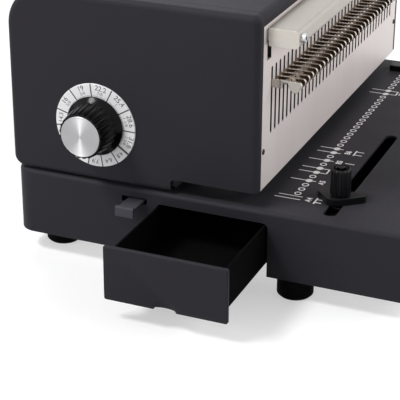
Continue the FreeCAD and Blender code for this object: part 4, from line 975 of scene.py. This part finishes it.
class BINDING_OT_covers(Piece):
    """End covers and the folded top and back cover"""
    bl_idname = "binding.covers"
    bl_label = "Covers"

    def execute(self, context):
        for node in ("left_end_cover", "right_end_cover", "top_back_cover"):
            dressed(node, "powder_coat")
        return {"FINISHED"}


class BINDING_OT_front_plate(Piece):
    """Brushed front plate with its slits, and its two screws"""
    bl_idname = "binding.front_plate"
    bl_label = "Front plate"

    def execute(self, context):
        dressed("front_plate", "brushed_plate", sizes().sheet_edge)
        screw_pair("front_plate_screw_pair", "front_plate_screws", cross_screw,
                   PLATE_SCREW_SHANK, 0.0, "black_screw", "frame")
        return {"FINISHED"}


def first_island(node):
    """The leftmost separate solid of a node, as a merged mesh shape."""
    shape = merged_node(node)
    start = min(shape.verts, key=lambda v: v.co.x)
    kept, queue = {start}, [start]
    while queue:
        for edge in queue.pop().link_edges:
            for vert in edge.verts:
                if vert not in kept:
                    kept.add(vert)
                    queue.append(vert)
    bmesh.ops.delete(shape, geom=[v for v in shape.verts if v not in kept], context="VERTS")
    return shape


class BINDING_OT_hooks(Piece):
    """Row of flat wire hooks with rounded edges"""
    bl_idname = "binding.hooks"
    bl_label = "Wire hooks"

    def execute(self, context):
        low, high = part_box("wire_hooks")
        shape = first_island("wire_hooks")
        across = [v.co.x for v in shape.verts]
        width = max(across) - min(across)
        hook = broken_edges(mesh_from(shape, "hook"), sizes().hook_edge, HOOK_ANGLE)
        count = sizes().hook_count
        pitch = (high.x - low.x - width) / (count - 1)
        row = repeated(hook, row_of_pieces, "hook_nickel", Count=count,
                       Start=(0.0, 0.0, 0.0), Step=(pitch, 0.0, 0.0))
        shown("wire_hook_row", row, "hook_nickel", "hooks", ("wire_hooks",))
        return {"FINISHED"}


# The dial's fields: the line that starts each, in degrees up from the front, the size of
# the wire in millimetres and, where the field is wide enough, in inches.
DIAL_FIELDS = (
    (164, "16", "5/8"), (129, "19", "3/4"), (96, "22.2", "7/8"), (64, "25.4", "1"),
    (31, "28.6", "1 1/8"), (-1, "31.8", "1 1/4"), (-35, "4.8", ""), (-56, "6.4", ""),
    (-80, "7.9", ""), (-102, "9.5", ""), (-126, "11.1", ""), (-149, "12.7", ""),
    (-173, "14.3", ""),
)
DIAL_JOINT = -35         # where the smallest size follows the largest, with a wider line
JOINT_WIDENING = 1.9
DIAL_EDGE = 0.15         # bevel of the dial's film
LINE_FOOT = 1.2          # reach of a line under the knob's skirt
LINE_MARGIN = 0.1        # from a line's end to the dial's rim
WIDE_FIELD = (0.86, 29.5)    # share of the numbers' height, and their radius
SLIM_FIELD = (0.74, 28.2)
INCH_SHARE = 0.66        # height of the inches as a share of the number over them
INCH_RADIUS = 25.6
ARC_LINE = 0.22          # the thin line round the skirt: width, gap and overlap in degrees
ARC_GAP = 0.5
ARC_OVERLAP = 2.5
ARC_STEPS = 10


def dial_direction(degrees):
    """Unit direction on the dial's face: 0 is to the front, 90 is up."""
    angle = math.radians(degrees)
    return Vector((0, -math.cos(angle), math.sin(angle)))


def dial_point(x, radius=0.0, degrees=0.0):
    """A place in metres, that far from the dial's axis."""
    return at(x, DIAL_AXIS.y, DIAL_AXIS.z) + dial_direction(degrees) * radius * MM


def dial_place(radius, degrees, x):
    """Matrix that sets a label upright on the dial, its top outwards."""
    axes = (dial_direction(degrees - 90), dial_direction(degrees), Vector((-1, 0, 0)))
    place = Matrix(axes).transposed().to_4x4()
    place.translation = dial_point(x, radius, degrees)
    return place


def dial_arc(shape, radius, width, start, end, x):
    """Thin raised arc on the dial between two angles."""
    angles = [start + (end - start) * i / ARC_STEPS for i in range(ARC_STEPS + 1)]
    outline = [dial_point(x, radius + width / 2, angle) for angle in angles]
    outline += [dial_point(x, radius - width / 2, angle) for angle in reversed(angles)]
    raised(shape, outline, Vector((-FILM * MM, 0, 0)))


class BINDING_OT_dial(Piece):
    """Printed ring of the size dial: film, lines, sizes and second line"""
    bl_idname = "binding.dial"
    bl_label = "Size dial"

    def execute(self, context):
        dressed("dial_ring", "dial_film", DIAL_EDGE * MM)
        face = machine_box("dial_ring")[0].x
        self.add_lines(face, radius_of("size_knob"), radius_of("dial_ring"))
        self.add_sizes(face, radius_of("size_knob"))
        return {"FINISHED"}

    def add_lines(self, face, inner, outer):
        """Black lines between the fields."""
        shape = bmesh.new()
        for angle, *_ in DIAL_FIELDS:
            width = sizes().dial_gap_line * (JOINT_WIDENING if angle == DIAL_JOINT else 1.0)
            corners = bar_between(dial_point(face, inner - LINE_FOOT, angle),
                                  dial_point(face, outer - LINE_MARGIN, angle),
                                  width, Vector((1, 0, 0)))
            raised(shape, corners, Vector((-FILM * MM, 0, 0)))
        shown("dial_lines", outward_mesh(shape, "dial_lines"), "black_ink", "frame")

    def add_sizes(self, face, inner):
        """Sizes in millimetres and inches, and the thin line inside them."""
        numbers, inches = [], []
        arcs = bmesh.new()
        first = DIAL_FIELDS[0][0]
        ends = [field[0] for field in DIAL_FIELDS[1:]] + [first - 360]
        for (start, size, inch), end in zip(DIAL_FIELDS, ends):
            middle = (start + end) / 2
            share, radius = WIDE_FIELD if inch else SLIM_FIELD
            height = sizes().dial_number * share
            numbers.append(lettering(size, height, dial_place(radius, middle, face)))
            if inch:
                inches.append(lettering(inch, height * INCH_SHARE,
                                        dial_place(INCH_RADIUS, middle, face)))
            dial_arc(arcs, inner + ARC_GAP, ARC_LINE, start - ARC_OVERLAP, end + ARC_OVERLAP,
                     face)
        shown("dial_numbers", gathered(numbers, "dial_numbers"), "black_ink", "frame")
        shown("dial_second_line", gathered(inches, "dial_second_line"), "grey_ink", "frame")
        shown("dial_inner_line", outward_mesh(arcs, "dial_inner_line"), "grey_ink", "frame")


SECTOR_STEPS = 16        # steps across one flute's share of a knob
SECTOR_WELD = 2e-5       # metres under which the sectors' edges are merged
KNOB_SMOOTH = 40.0       # here and below: degrees over which an edge stays sharp


def flute_cut(depth, flute_radius):
    """How deep a round flute cuts at a radius and an angle from the flute's middle."""
    def cut(radius, offset):
        axis = radius - depth + flute_radius
        across = axis * math.sin(offset)
        if abs(across) >= flute_radius:
            return 0.0
        wall = axis * math.cos(offset) - math.sqrt(flute_radius ** 2 - across ** 2)
        return max(0.0, radius - wall)
    return cut


def fluted(name, key, outline, axis, centre, flutes, depth_at):
    """A turned knob with flutes: the sector of one flute, repeated round the centre."""
    step = math.tau / flutes

    def shaped(along, radius, angle):
        offset = abs((angle + step / 2) % step - step / 2)
        return radius - depth_at(along, radius, offset)

    sector = turned(outline, axis, SECTOR_STEPS, shaped=shaped, sweep=step)
    turn = (step, 0.0, 0.0) if axis == "X" else (0.0, 0.0, step)
    knob = repeated(mesh_from(sector, name), ring_of_pieces, key, Count=flutes,
                    Centre=centre, Turn=turn, Merge=SECTOR_WELD)
    return smoothed(knob, KNOB_SMOOTH)


# The size knob: its skirt, the taper of its grip, and the index line.
SKIRT_HEIGHT = 5.0
SKIRT_RIM = 1.6
KNOB_FOOT_DROP = 3.4
KNOB_NOSE_DROP = 5.6
CAP_GAP = 0.05           # between the cap and the wall round it
CAP_WALL = 0.3           # thickness of the wall that the flutes leave whole
FLUTE_FADE = 0.8         # length over which the flutes run out at the skirt
FLUTE_PITCH = 1.2        # about the length of the steps along a flute
INDEX_ANGLE = -97.0
INDEX_HALF = 0.55
INDEX_FOOT = 0.5         # from the skirt's back, and from the knob's nose, to its ends
INDEX_NOSE = 1.2
CAP_STEPS = 128
CAP_SMOOTH = 50.0


class BINDING_OT_knob(Piece):
    """Skirted size knob with moulded flutes, an index mark and a spun cap"""
    bl_idname = "binding.knob"
    bl_label = "Size knob"

    def execute(self, context):
        low, high = machine_box("size_knob")
        front, back, skirt = low.x, high.x, radius_of("size_knob")
        seat, cap = machine_box("knob_cap")[1].x, radius_of("knob_cap")
        bore = radius_of("dial_shaft")
        root = back - SKIRT_HEIGHT
        foot, head = skirt - KNOB_FOOT_DROP, skirt - KNOB_NOSE_DROP
        outline = rounded([
            (back, bore, 0), (back, skirt, 0.4), (back - SKIRT_RIM, skirt, 0.6),
            (root, foot, 0.8), (front, head, 1.0), (front, cap + CAP_GAP, 0.2),
            (seat, cap + CAP_GAP, 0), (seat, bore, 0)])
        cut = flute_cut(sizes().flute_depth / MM, sizes().flute_radius / MM)

        def depth_at(along, radius, offset):
            fade = min(1.0, max(0.0, (root - along) / FLUTE_FADE))
            return cut(radius, offset) * fade if radius > cap + CAP_WALL else 0.0

        knob = fluted("knob_sector", "gloss_black",
                      divided(outline, FLUTE_PITCH, cap + CAP_WALL), "X", dial_point(0),
                      sizes().knob_flutes, depth_at)
        shown("size_knob_grip", knob, "gloss_black", "dial", ("size_knob",))
        self.add_index([(back - INDEX_FOOT, skirt), (back - SKIRT_RIM, skirt), (root, foot),
                        (front + INDEX_NOSE, head)])
        self.add_cap()
        return {"FINISHED"}

    def add_index(self, path):
        """White index line over the skirt and along the grip."""
        shape = bmesh.new()
        out = dial_direction(INDEX_ANGLE)
        half = out.cross(Vector((1, 0, 0))) * INDEX_HALF * MM
        rows = [dial_point(x, radius, INDEX_ANGLE) for x, radius in path]
        for start, end in zip(rows, rows[1:]):
            raised(shape, [start - half, end - half, end + half, start + half],
                   out * FILM * MM)
        shown("knob_index", outward_mesh(shape, "knob_index"), "pale_ink", "dial")

    def add_cap(self):
        """Spun cap: rolled rim and a shallow dish."""
        low, high = machine_box("knob_cap")
        front, back, radius = low.x, high.x, radius_of("knob_cap")
        outline = rounded([(back, 0, 0), (back, radius, 0), (front + 0.05, radius, 0.5),
                           (front + 0.35, radius - 1.5, 0.8), (front + 0.12, 0, 0)],
                          closed=False)
        cap = turned(outline, "X", CAP_STEPS, ends="open")
        cap.transform(Matrix.Translation(dial_point(0)))
        shown("knob_cap_finish", smoothed(mesh_from(cap, "knob_cap_finish"), CAP_SMOOTH),
              "sunray_metal", "dial", ("knob_cap",))


class BINDING_OT_drawer(Piece):
    """Chip drawer: folded tray and front panel with its finger scoop"""
    bl_idname = "binding.drawer"
    bl_label = "Chip drawer"

    def execute(self, context):
        dressed("drawer_front", "powder_coat", sizes().edge)
        # The tray takes the near-black copy of the powder coat: painted shade.
        dressed("drawer_box", "shaded_powder_coat", sizes().sheet_edge)
        return {"FINISHED"}


class BINDING_OT_lever(Piece):
    """Punching depth lever and its gauge"""
    bl_idname = "binding.lever"
    bl_label = "Depth lever"

    def execute(self, context):
        # The lever takes the lighter copy of the powder coat: a painted highlight.
        dressed("depth_lever", "lit_lever_coat", sizes().edge)
        dressed("depth_gauge", "ground_steel", sizes().sheet_edge)
        return {"FINISHED"}


# The clamp knob of the edge stop, with a dished top.
DISH_DEPTH = 0.7
CLAMP_FLUTE = (0.75, 1.1)    # depth and radius of a flute
CLAMP_WALL = 1.4             # how far in from the rim the flutes go
CLAMP_PITCH = 2.5            # about the length of the steps along a flute


class BINDING_OT_stops(Piece):
    """Edge stop, its fluted clamp knob, stud and nut, and the side stop"""
    bl_idname = "binding.stops"
    bl_label = "Paper stops"

    def execute(self, context):
        dressed("edge_stop", "satin_stop", sizes().edge)
        dressed("side_stop", "satin_stop")
        dressed("tee_nut", "black_screw", sizes().edge)
        dressed("stop_stud", "black_screw", sizes().sheet_edge)
        low, high = machine_box("stop_knob")
        middle = middle_of("stop_knob")
        bore, radius = radius_of("stop_stud", "y"), radius_of("stop_knob", "y")
        dish = high.z - DISH_DEPTH
        outline = rounded([(low.z, bore, 0), (low.z, radius - 0.8, 0.4),
                           (low.z + 1.0, radius, 0.5), (high.z - 1.4, radius - 0.3, 1.0),
                           (high.z, radius - 1.6, 0.6), (high.z, radius - 3.2, 0),
                           (dish, radius - 3.8, 0.3), (dish, bore, 0)])
        cut = flute_cut(*CLAMP_FLUTE)

        def depth_at(along, here, offset):
            return cut(here, offset) if here > radius - CLAMP_WALL else 0.0

        knob = fluted("stop_sector", "satin_stop", divided(outline, CLAMP_PITCH), "Z",
                      at(middle.x, middle.y, 0), sizes().stop_flutes, depth_at)
        shown("stop_knob_grip", knob, "satin_stop", "clamp", ("stop_knob",))
        return {"FINISHED"}


# Marks on the deck: a row of rings, one for each punch, some of them filled, and lines,
# bars and labels for the paper sizes. A line is its X and the Ys of its ends, a bar the
# Xs of its ends and its Y, a label its text and its middle.
RING_ROW_Y = -18.1
RING_FIRST_X = 39.4
RING_PITCH = 25.4 / 3
RING_COUNT = 34
RING_STEPS = 24
RING_STRETCH = 1.08          # length of a ring along the row as a share of its width
DOT_STRETCH = (1.1, 1.02)    # size of a dot as a share of its ring's hole
DOT_LIFT = 0.9               # thickness of a dot as a share of the print's
BAR_WIDENING = 1.2
LABEL_BOLDNESS = 0.15        # by which a label's strokes are widened on each side
FILLED_RINGS = (3, 5, 6, 8, 10, 11, 27, 28)
GUIDE_LINES = (
    (29.1, -3.5, -23.5), (34.4, -5.0, -23.5), (29.1, -35.0, -39.5), (34.4, -35.0, -39.5),
    (64.8, -3.5, -23.5), (81.7, -4.0, -26.0), (90.2, -4.0, -26.0),
    (107.1, -3.5, -23.5), (107.1, -33.0, -40.5),
    (124.1, -4.5, -23.5), (132.5, -4.5, -23.5), (126.0, -34.0, -40.5), (132.5, -34.0, -40.5),
    (268.0, -3.5, -27.0), (276.5, -3.5, -27.0),
)
GUIDE_BARS = ((26.5, 37.0, -34.5), (81.7, 90.2, -26.0), (124.1, 134.5, -34.0),
              (268.0, 276.5, -27.0))
GUIDE_LABELS = (("A4", 31.8, -29.3), ("A5", 64.8, -28.4), ("B5", 107.1, -28.4),
                ("B6", 128.3, -28.8), ("A6", 86.0, -31.5), ("B5", 272.2, -31.5))


def deck_oval(along, across, height=0.0):
    """Points of an oval of those two radii, in metres."""
    return [Vector((along * c, across * s, height)) for c, s in circle(RING_STEPS)]


class BINDING_OT_deck_marks(Piece):
    """Rings, lines and paper sizes printed on the deck"""
    bl_idname = "binding.deck_marks"
    bl_label = "Deck marks"

    def execute(self, context):
        top = machine_box("base_shell")[1].z
        inner = sizes().ring_radius - sizes().ring_line
        self.add_rings(top, inner, sizes().ring_radius)
        self.add_lines(top, inner)
        labels = [lettering(text, sizes().label_height,
                            Matrix.Translation(at(x, y, top + FILM / 2)),
                            LABEL_BOLDNESS * MM)
                  for text, x, y in GUIDE_LABELS]
        shown("deck_labels", gathered(labels, "deck_labels"), "pale_ink", "frame")
        return {"FINISHED"}

    def add_rings(self, top, inner, outer):
        """One ring for each punch."""
        film = FILM * MM
        ring = lofted([deck_oval(radius * RING_STRETCH, radius, height) for radius, height
                       in ((outer, 0), (outer, film), (inner, film), (inner, 0))], "joined")
        rings = repeated(mesh_from(ring, "deck_ring"), row_of_pieces, "pale_ink",
                         Count=RING_COUNT, Start=at(RING_FIRST_X, RING_ROW_Y, top),
                         Step=millimetres(RING_PITCH, 0, 0))
        shown("deck_rings", rings, "pale_ink", "frame")

    def add_lines(self, top, inner):
        """The dots in the filled rings, and the lines and bars of the paper sizes."""
        marks = bmesh.new()
        up = Vector((0, 0, 1))
        lift = up * FILM * MM
        for index in FILLED_RINGS:
            centre = at(RING_FIRST_X + index * RING_PITCH, RING_ROW_Y, top)
            dot = deck_oval(*(inner * stretch for stretch in DOT_STRETCH))
            raised(marks, [centre + point for point in dot], lift * DOT_LIFT)
        line = sizes().guide_line
        for x, near, far in GUIDE_LINES:
            raised(marks, bar_between(at(x, near, top), at(x, far, top), line, up), lift)
        for left, right, y in GUIDE_BARS:
            raised(marks, bar_between(at(left, y, top), at(right, y, top),
                                      line * BAR_WIDENING, up), lift)
        shown("deck_guide_lines", outward_mesh(marks, "deck_guide_lines"), "pale_ink", "frame")


class BINDING_OT_press(Piece):
    """Wire closing bar with its screws, yoke and rollers"""
    bl_idname = "binding.press"
    bl_label = "Closing press"

    def execute(self, context):
        dressed("press_bar", "satin_nickel", sizes().edge)
        dressed("press_yoke", "ground_steel", sizes().edge)
        dressed("press_rollers", "turned_steel", sizes().edge)
        screw_pair("press_bar_screw_pair", "press_bar_screws", socket_screw,
                   PRESS_SCREW_SHANK, machine_box("press_bar")[0].y, "zinc_plate", "press")
        return {"FINISHED"}


# The handle's grip, along the leaning rod from the shaft's axis. The outlines of its two
# ends are (along, drop under the full radius) points, from its start and from its end.
HANDLE_LEAN = 25.0
ROD_RADIUS = 7.0
GRIP_START = 104.0
GRIP_LENGTH = 112.0
GRIP_COLLAR = 9.0
GRIP_END = 12.0
GRIP_STATIONS = 48
GRIP_STEPS = 64
GRIP_SMOOTH = 50.0
SWELL_FOOT = 2.6         # drop of the hollows, and height of the swells between them
SWELL_HEIGHT = 2.0
COLLAR_OUTLINE = ((0, 2.0), (0.6, 1.2), (2.0, 0.7), (4.6, 0.7), (6.0, 1.2), (8.0, 2.4))
END_OUTLINE = ((-9.0, 1.2), (-6.0, 0.1), (-3.2, 0.8), (-1.2, 2.8), (-0.2, 6.5))
END_WALL = 5.0
RIB_RADIUS = 0.55
RIB_DROP = 2.35
RIB_STEPS = 8
RIB_SMOOTH = 60.0


class BINDING_OT_handle(Piece):
    """Pull handle: shaft, hub, rod and ribbed grip"""
    bl_idname = "binding.handle"
    bl_label = "Pull handle"

    def execute(self, context):
        dressed("drive_shaft", "ground_steel", sizes().edge)
        dressed("handle_hub", "powder_coat", sizes().edge)
        dressed("handle_rod", "nickel_plate")
        shaft = middle_of("drive_shaft")
        pivot = at(middle_of("handle_hub").x, shaft.y, shaft.z)
        lean = Matrix.Translation(pivot) @ Matrix.Rotation(math.radians(-HANDLE_LEAN), 4, "X")
        self.add_grip(lean, radius_of("handle_grip", "x"))
        self.add_ribs(lean, radius_of("handle_grip", "x"))
        return {"FINISHED"}

    def add_grip(self, lean, radius):
        """Soft grip: a collar, a row of swells and a rounded end round the rod's tip."""
        outline = [(0, ROD_RADIUS)] + [(along, radius - drop) for along, drop in COLLAR_OUTLINE]
        body = GRIP_LENGTH - GRIP_COLLAR - GRIP_END
        for i in range(GRIP_STATIONS + 1):
            share = i / GRIP_STATIONS
            wave = 0.5 - 0.5 * math.cos(2 * math.pi * sizes().grip_swells * share)
            outline.append((GRIP_COLLAR + body * share,
                            radius - SWELL_FOOT + SWELL_HEIGHT * wave))
        outline += [(GRIP_LENGTH + along, radius - drop) for along, drop in END_OUTLINE]
        outline += [(GRIP_LENGTH, 0), (GRIP_LENGTH - END_WALL, 0),
                    (GRIP_LENGTH - END_WALL, ROD_RADIUS)]
        shape = turned([(GRIP_START + along, reach) for along, reach in outline], "Z",
                       GRIP_STEPS)
        shape.transform(lean)
        mesh = smoothed(mesh_from(shape, "handle_grip_moulding"), GRIP_SMOOTH)
        shown("handle_grip_moulding", mesh, "soft_rubber", "handle", ("handle_grip",))

    def add_ribs(self, lean, radius):
        """Fine raised rings in the grip's hollows."""
        section = [(RIB_RADIUS * s, radius - RIB_DROP + RIB_RADIUS * c)
                   for c, s in circle(RIB_STEPS)]
        rib = mesh_from(turned(section, "Z", GRIP_STEPS), "grip_rib")
        swells = sizes().grip_swells
        step = (GRIP_LENGTH - GRIP_COLLAR - GRIP_END) / swells
        rings = repeated(rib, row_of_pieces, "soft_rubber", Count=swells + 1,
                         Start=millimetres(0, 0, GRIP_START + GRIP_COLLAR),
                         Step=millimetres(0, 0, step))
        rings.transform(lean)
        shown("handle_grip_ribs", smoothed(rings, RIB_SMOOTH), "soft_rubber", "handle")


MECHANISM_FINISHES = {
    "zinc_plate": ("left_frame_plate", "right_frame_plate", "cover_spacers", "tie_bars",
                   "adjuster_slide", "scroll_cam", "throat_guide"),
    "ground_steel": ("hook_carriage", "punch_ram", "punch_cams", "press_cams", "rod_blocks",
                     "die_spacers"),
    "turned_steel": ("guide_rods", "ram_posts", "dial_shaft", "ram_rollers",
                     "adjuster_guide_pins"),
}
# Pieces whose edges stay sharp: bushes, and plates drilled with a row of small holes.
UNBEVELLED = {"bearing_bronze": ("shaft_bushes", "dial_bush"),
              "ground_steel": ("die_plate", "stripper_plate")}


class BINDING_OT_mechanism(Piece):
    """Inner frame, punching unit, cams, hook carriage and size adjuster"""
    bl_idname = "binding.mechanism"
    bl_label = "Mechanism"

    def execute(self, context):
        for finishes, edge in ((MECHANISM_FINISHES, sizes().sheet_edge), (UNBEVELLED, 0.0)):
            for key, nodes in finishes.items():
                for node in nodes:
                    dressed(node, key, edge)
        painted("punch_pins", "ground_steel")
        springs = dressed("ram_springs", "ground_steel")
        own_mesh(springs)
        return {"FINISHED"}


# ------------------------------------------------------------------ stage
# The camera: focal length, picture size and picture centre in pixels, sensor in
# millimetres, place on the machine's axes, its turns in degrees, and the nearest and
# farthest it sees in metres.
LENS_PIXELS = 1462.05
PICTURE_PIXELS = 400.0
PICTURE_CENTRE = (197.06, 200.60)
SENSOR = 36.0
CAMERA_PLACE = (-896.04, -333.62, 496.91)
CAMERA_AZIMUTH = 67.033
CAMERA_ELEVATION = 24.620
CAMERA_ROLL = 0.204
CAMERA_REACH = (0.05, 50.0)

# Soft lamps: place in metres, width and height in metres, and power in watts.
LAMPS = {
    "key_lamp": ((-1.25, 1.35, 2.50), (1.0, 0.5), 58.0),
    "side_lamp": ((-1.38, 0.66, 0.50), (0.8, 0.8), 6.0),
    "front_lamp": ((0.50, -2.00, 1.30), (1.6, 1.0), 30.0),
    "back_lamp": ((1.6, 1.4, 1.8), (1.2, 0.8), 14.0),
}
WORLD_LIGHT = 0.22
FLOOR_HALF = 6.0         # metres from the middle of the floor to its sides
FLOOR_REACH = 4.0        # metres within which the floor turns from shaded to plain white
FLOOR_FADE = (0.3, 0.7)  # where it starts and ends turning, as shares of that reach
FLOOR_GLOW = 0.48        # how far the near floor is lit by itself


def add_camera():
    azimuth, elevation = math.radians(CAMERA_AZIMUTH), math.radians(CAMERA_ELEVATION)
    ahead = Vector((math.sin(azimuth) * math.cos(elevation),
                    math.cos(azimuth) * math.cos(elevation), -math.sin(elevation)))
    right = ahead.cross(Vector((0, 0, 1))).normalized()
    up = right.cross(ahead)
    turn = math.radians(CAMERA_ROLL)
    right, up = (right * math.cos(turn) + up * math.sin(turn),
                 up * math.cos(turn) - right * math.sin(turn))
    data = bpy.data.cameras.new("camera")
    data.sensor_width = SENSOR
    data.lens = SENSOR * LENS_PIXELS / PICTURE_PIXELS
    middle = PICTURE_PIXELS / 2
    data.shift_x = (middle - PICTURE_CENTRE[0]) / PICTURE_PIXELS
    data.shift_y = (PICTURE_CENTRE[1] - middle) / PICTURE_PIXELS
    data.clip_start, data.clip_end = CAMERA_REACH
    camera = working_object("camera", data)
    place = Matrix((right, up, -ahead)).transposed().to_4x4()
    place.translation = at(*CAMERA_PLACE)
    camera.matrix_world = place
    bpy.context.scene.camera = camera


def add_lamp(name, place, size, power, target):
    data = bpy.data.lights.new(name, "AREA")
    data.shape = "RECTANGLE"
    data.size, data.size_y = size
    data.energy = power
    lamp = working_object(name, data)
    lamp.location = place
    lamp.rotation_euler = (target - Vector(place)).to_track_quat("-Z", "Y").to_euler()


def background_ray(tree):
    """1 for rays that should see the pale background: camera, glossy and transmission."""
    path = add(tree, "ShaderNodeLightPath").outputs
    seen = maths(tree, "MAXIMUM", path["Is Camera Ray"], path["Is Glossy Ray"])
    return maths(tree, "MAXIMUM", seen, path["Is Transmission Ray"])


def add_world():
    """White surroundings that light the machine softly."""
    world = bpy.data.worlds.new("studio")
    bpy.context.scene.world = world
    world.use_nodes = True
    tree = world.node_tree
    tree.nodes.clear()
    light, backdrop = [add(tree, "ShaderNodeBackground", {"Color": WHITE, "Strength": strength})
                       for strength in (WORLD_LIGHT, 1.0)]
    both = add(tree, "ShaderNodeMixShader", {0: background_ray(tree), 1: light.outputs[0],
                                             2: backdrop.outputs[0]})
    add(tree, "ShaderNodeOutputWorld", {"Surface": both.outputs[0]})


def add_floor():
    """Wide pale floor that keeps the machine's shadow and looks white to the camera."""
    shape = bmesh.new()
    corners = ((-1, -1), (1, -1), (1, 1), (-1, 1))
    shape.faces.new([shape.verts.new((x * FLOOR_HALF, y * FLOOR_HALF, 0)) for x, y in corners])
    floor = working_object("studio_floor", mesh_from(shape, "studio_floor"))
    material, tree, shader = blank_material("studio_floor")
    tone = colours().floor
    vector = place_vector(tree)
    clouds = product(tree, noise(tree, vector, 6.0, 2.0), 0.15)
    pale = mixed(tree, clouds, rgba(tone), rgba(tone, 0.97))
    share = maths(tree, "DIVIDE", reach_of(tree, vector), FLOOR_REACH)
    far = ramp(tree, share, *FLOOR_FADE)
    white = maths(tree, "MULTIPLY_ADD", far, 1.0 - FLOOR_GLOW, FLOOR_GLOW)
    fill(tree, shader, {
        "Base Color": mixed(tree, far, pale, BLACK), "Roughness": 0.9,
        "Specular IOR Level": 0.1, "Emission Color": WHITE,
        "Emission Strength": product(tree, background_ray(tree), white)})
    floor.data.materials.append(material)


class BINDING_OT_stage(Piece):
    """Camera, pale floor, soft lamps and white surroundings"""
    bl_idname = "binding.stage"
    bl_label = "Studio stage"

    def execute(self, context):
        context.scene.view_settings.view_transform = "Standard"
        add_camera()
        add_world()
        add_floor()
        middle = (FRAME_BOX[0] + FRAME_BOX[1]) / 2
        for name, lamp in LAMPS.items():
            add_lamp(name, *lamp, middle)
        return {"FINISHED"}


# ------------------------------------------------------------------ add-on layout
PIECES = (BINDING_OT_base, BINDING_OT_covers, BINDING_OT_front_plate, BINDING_OT_hooks,
          BINDING_OT_dial, BINDING_OT_knob, BINDING_OT_drawer, BINDING_OT_lever,
          BINDING_OT_stops, BINDING_OT_deck_marks, BINDING_OT_press, BINDING_OT_handle,
          BINDING_OT_mechanism, BINDING_OT_stage)


class BINDING_PT_machine(Panel):
    """Lists the machine's pieces and their sizes and colours"""
    bl_idname = "BINDING_PT_machine"
    bl_label = "Binding machine"
    bl_space_type = "VIEW_3D"
    bl_region_type = "UI"
    bl_category = "Binding"

    def draw(self, context):
        for piece in PIECES:
            self.layout.operator(piece.bl_idname)
        for group in (context.scene.machine_sizes, context.scene.machine_colours):
            box = self.layout.box()
            for name in group.__annotations__:
                box.prop(group, name)


CLASSES = (MachineSizes, MachineColours) + PIECES + (BINDING_PT_machine,)


def register():
    for item in CLASSES:
        bpy.utils.register_class(item)
    bpy.types.Scene.machine_sizes = PointerProperty(type=MachineSizes)
    bpy.types.Scene.machine_colours = PointerProperty(type=MachineColours)


def unregister():
    del bpy.types.Scene.machine_colours
    del bpy.types.Scene.machine_sizes
    for item in reversed(CLASSES):
        bpy.utils.unregister_class(item)


def main():
    register()
    for piece in PIECES:
        group, _, action = piece.bl_idname.partition(".")
        getattr(getattr(bpy.ops, group), action)()


if __name__ == "__main__":
    main()
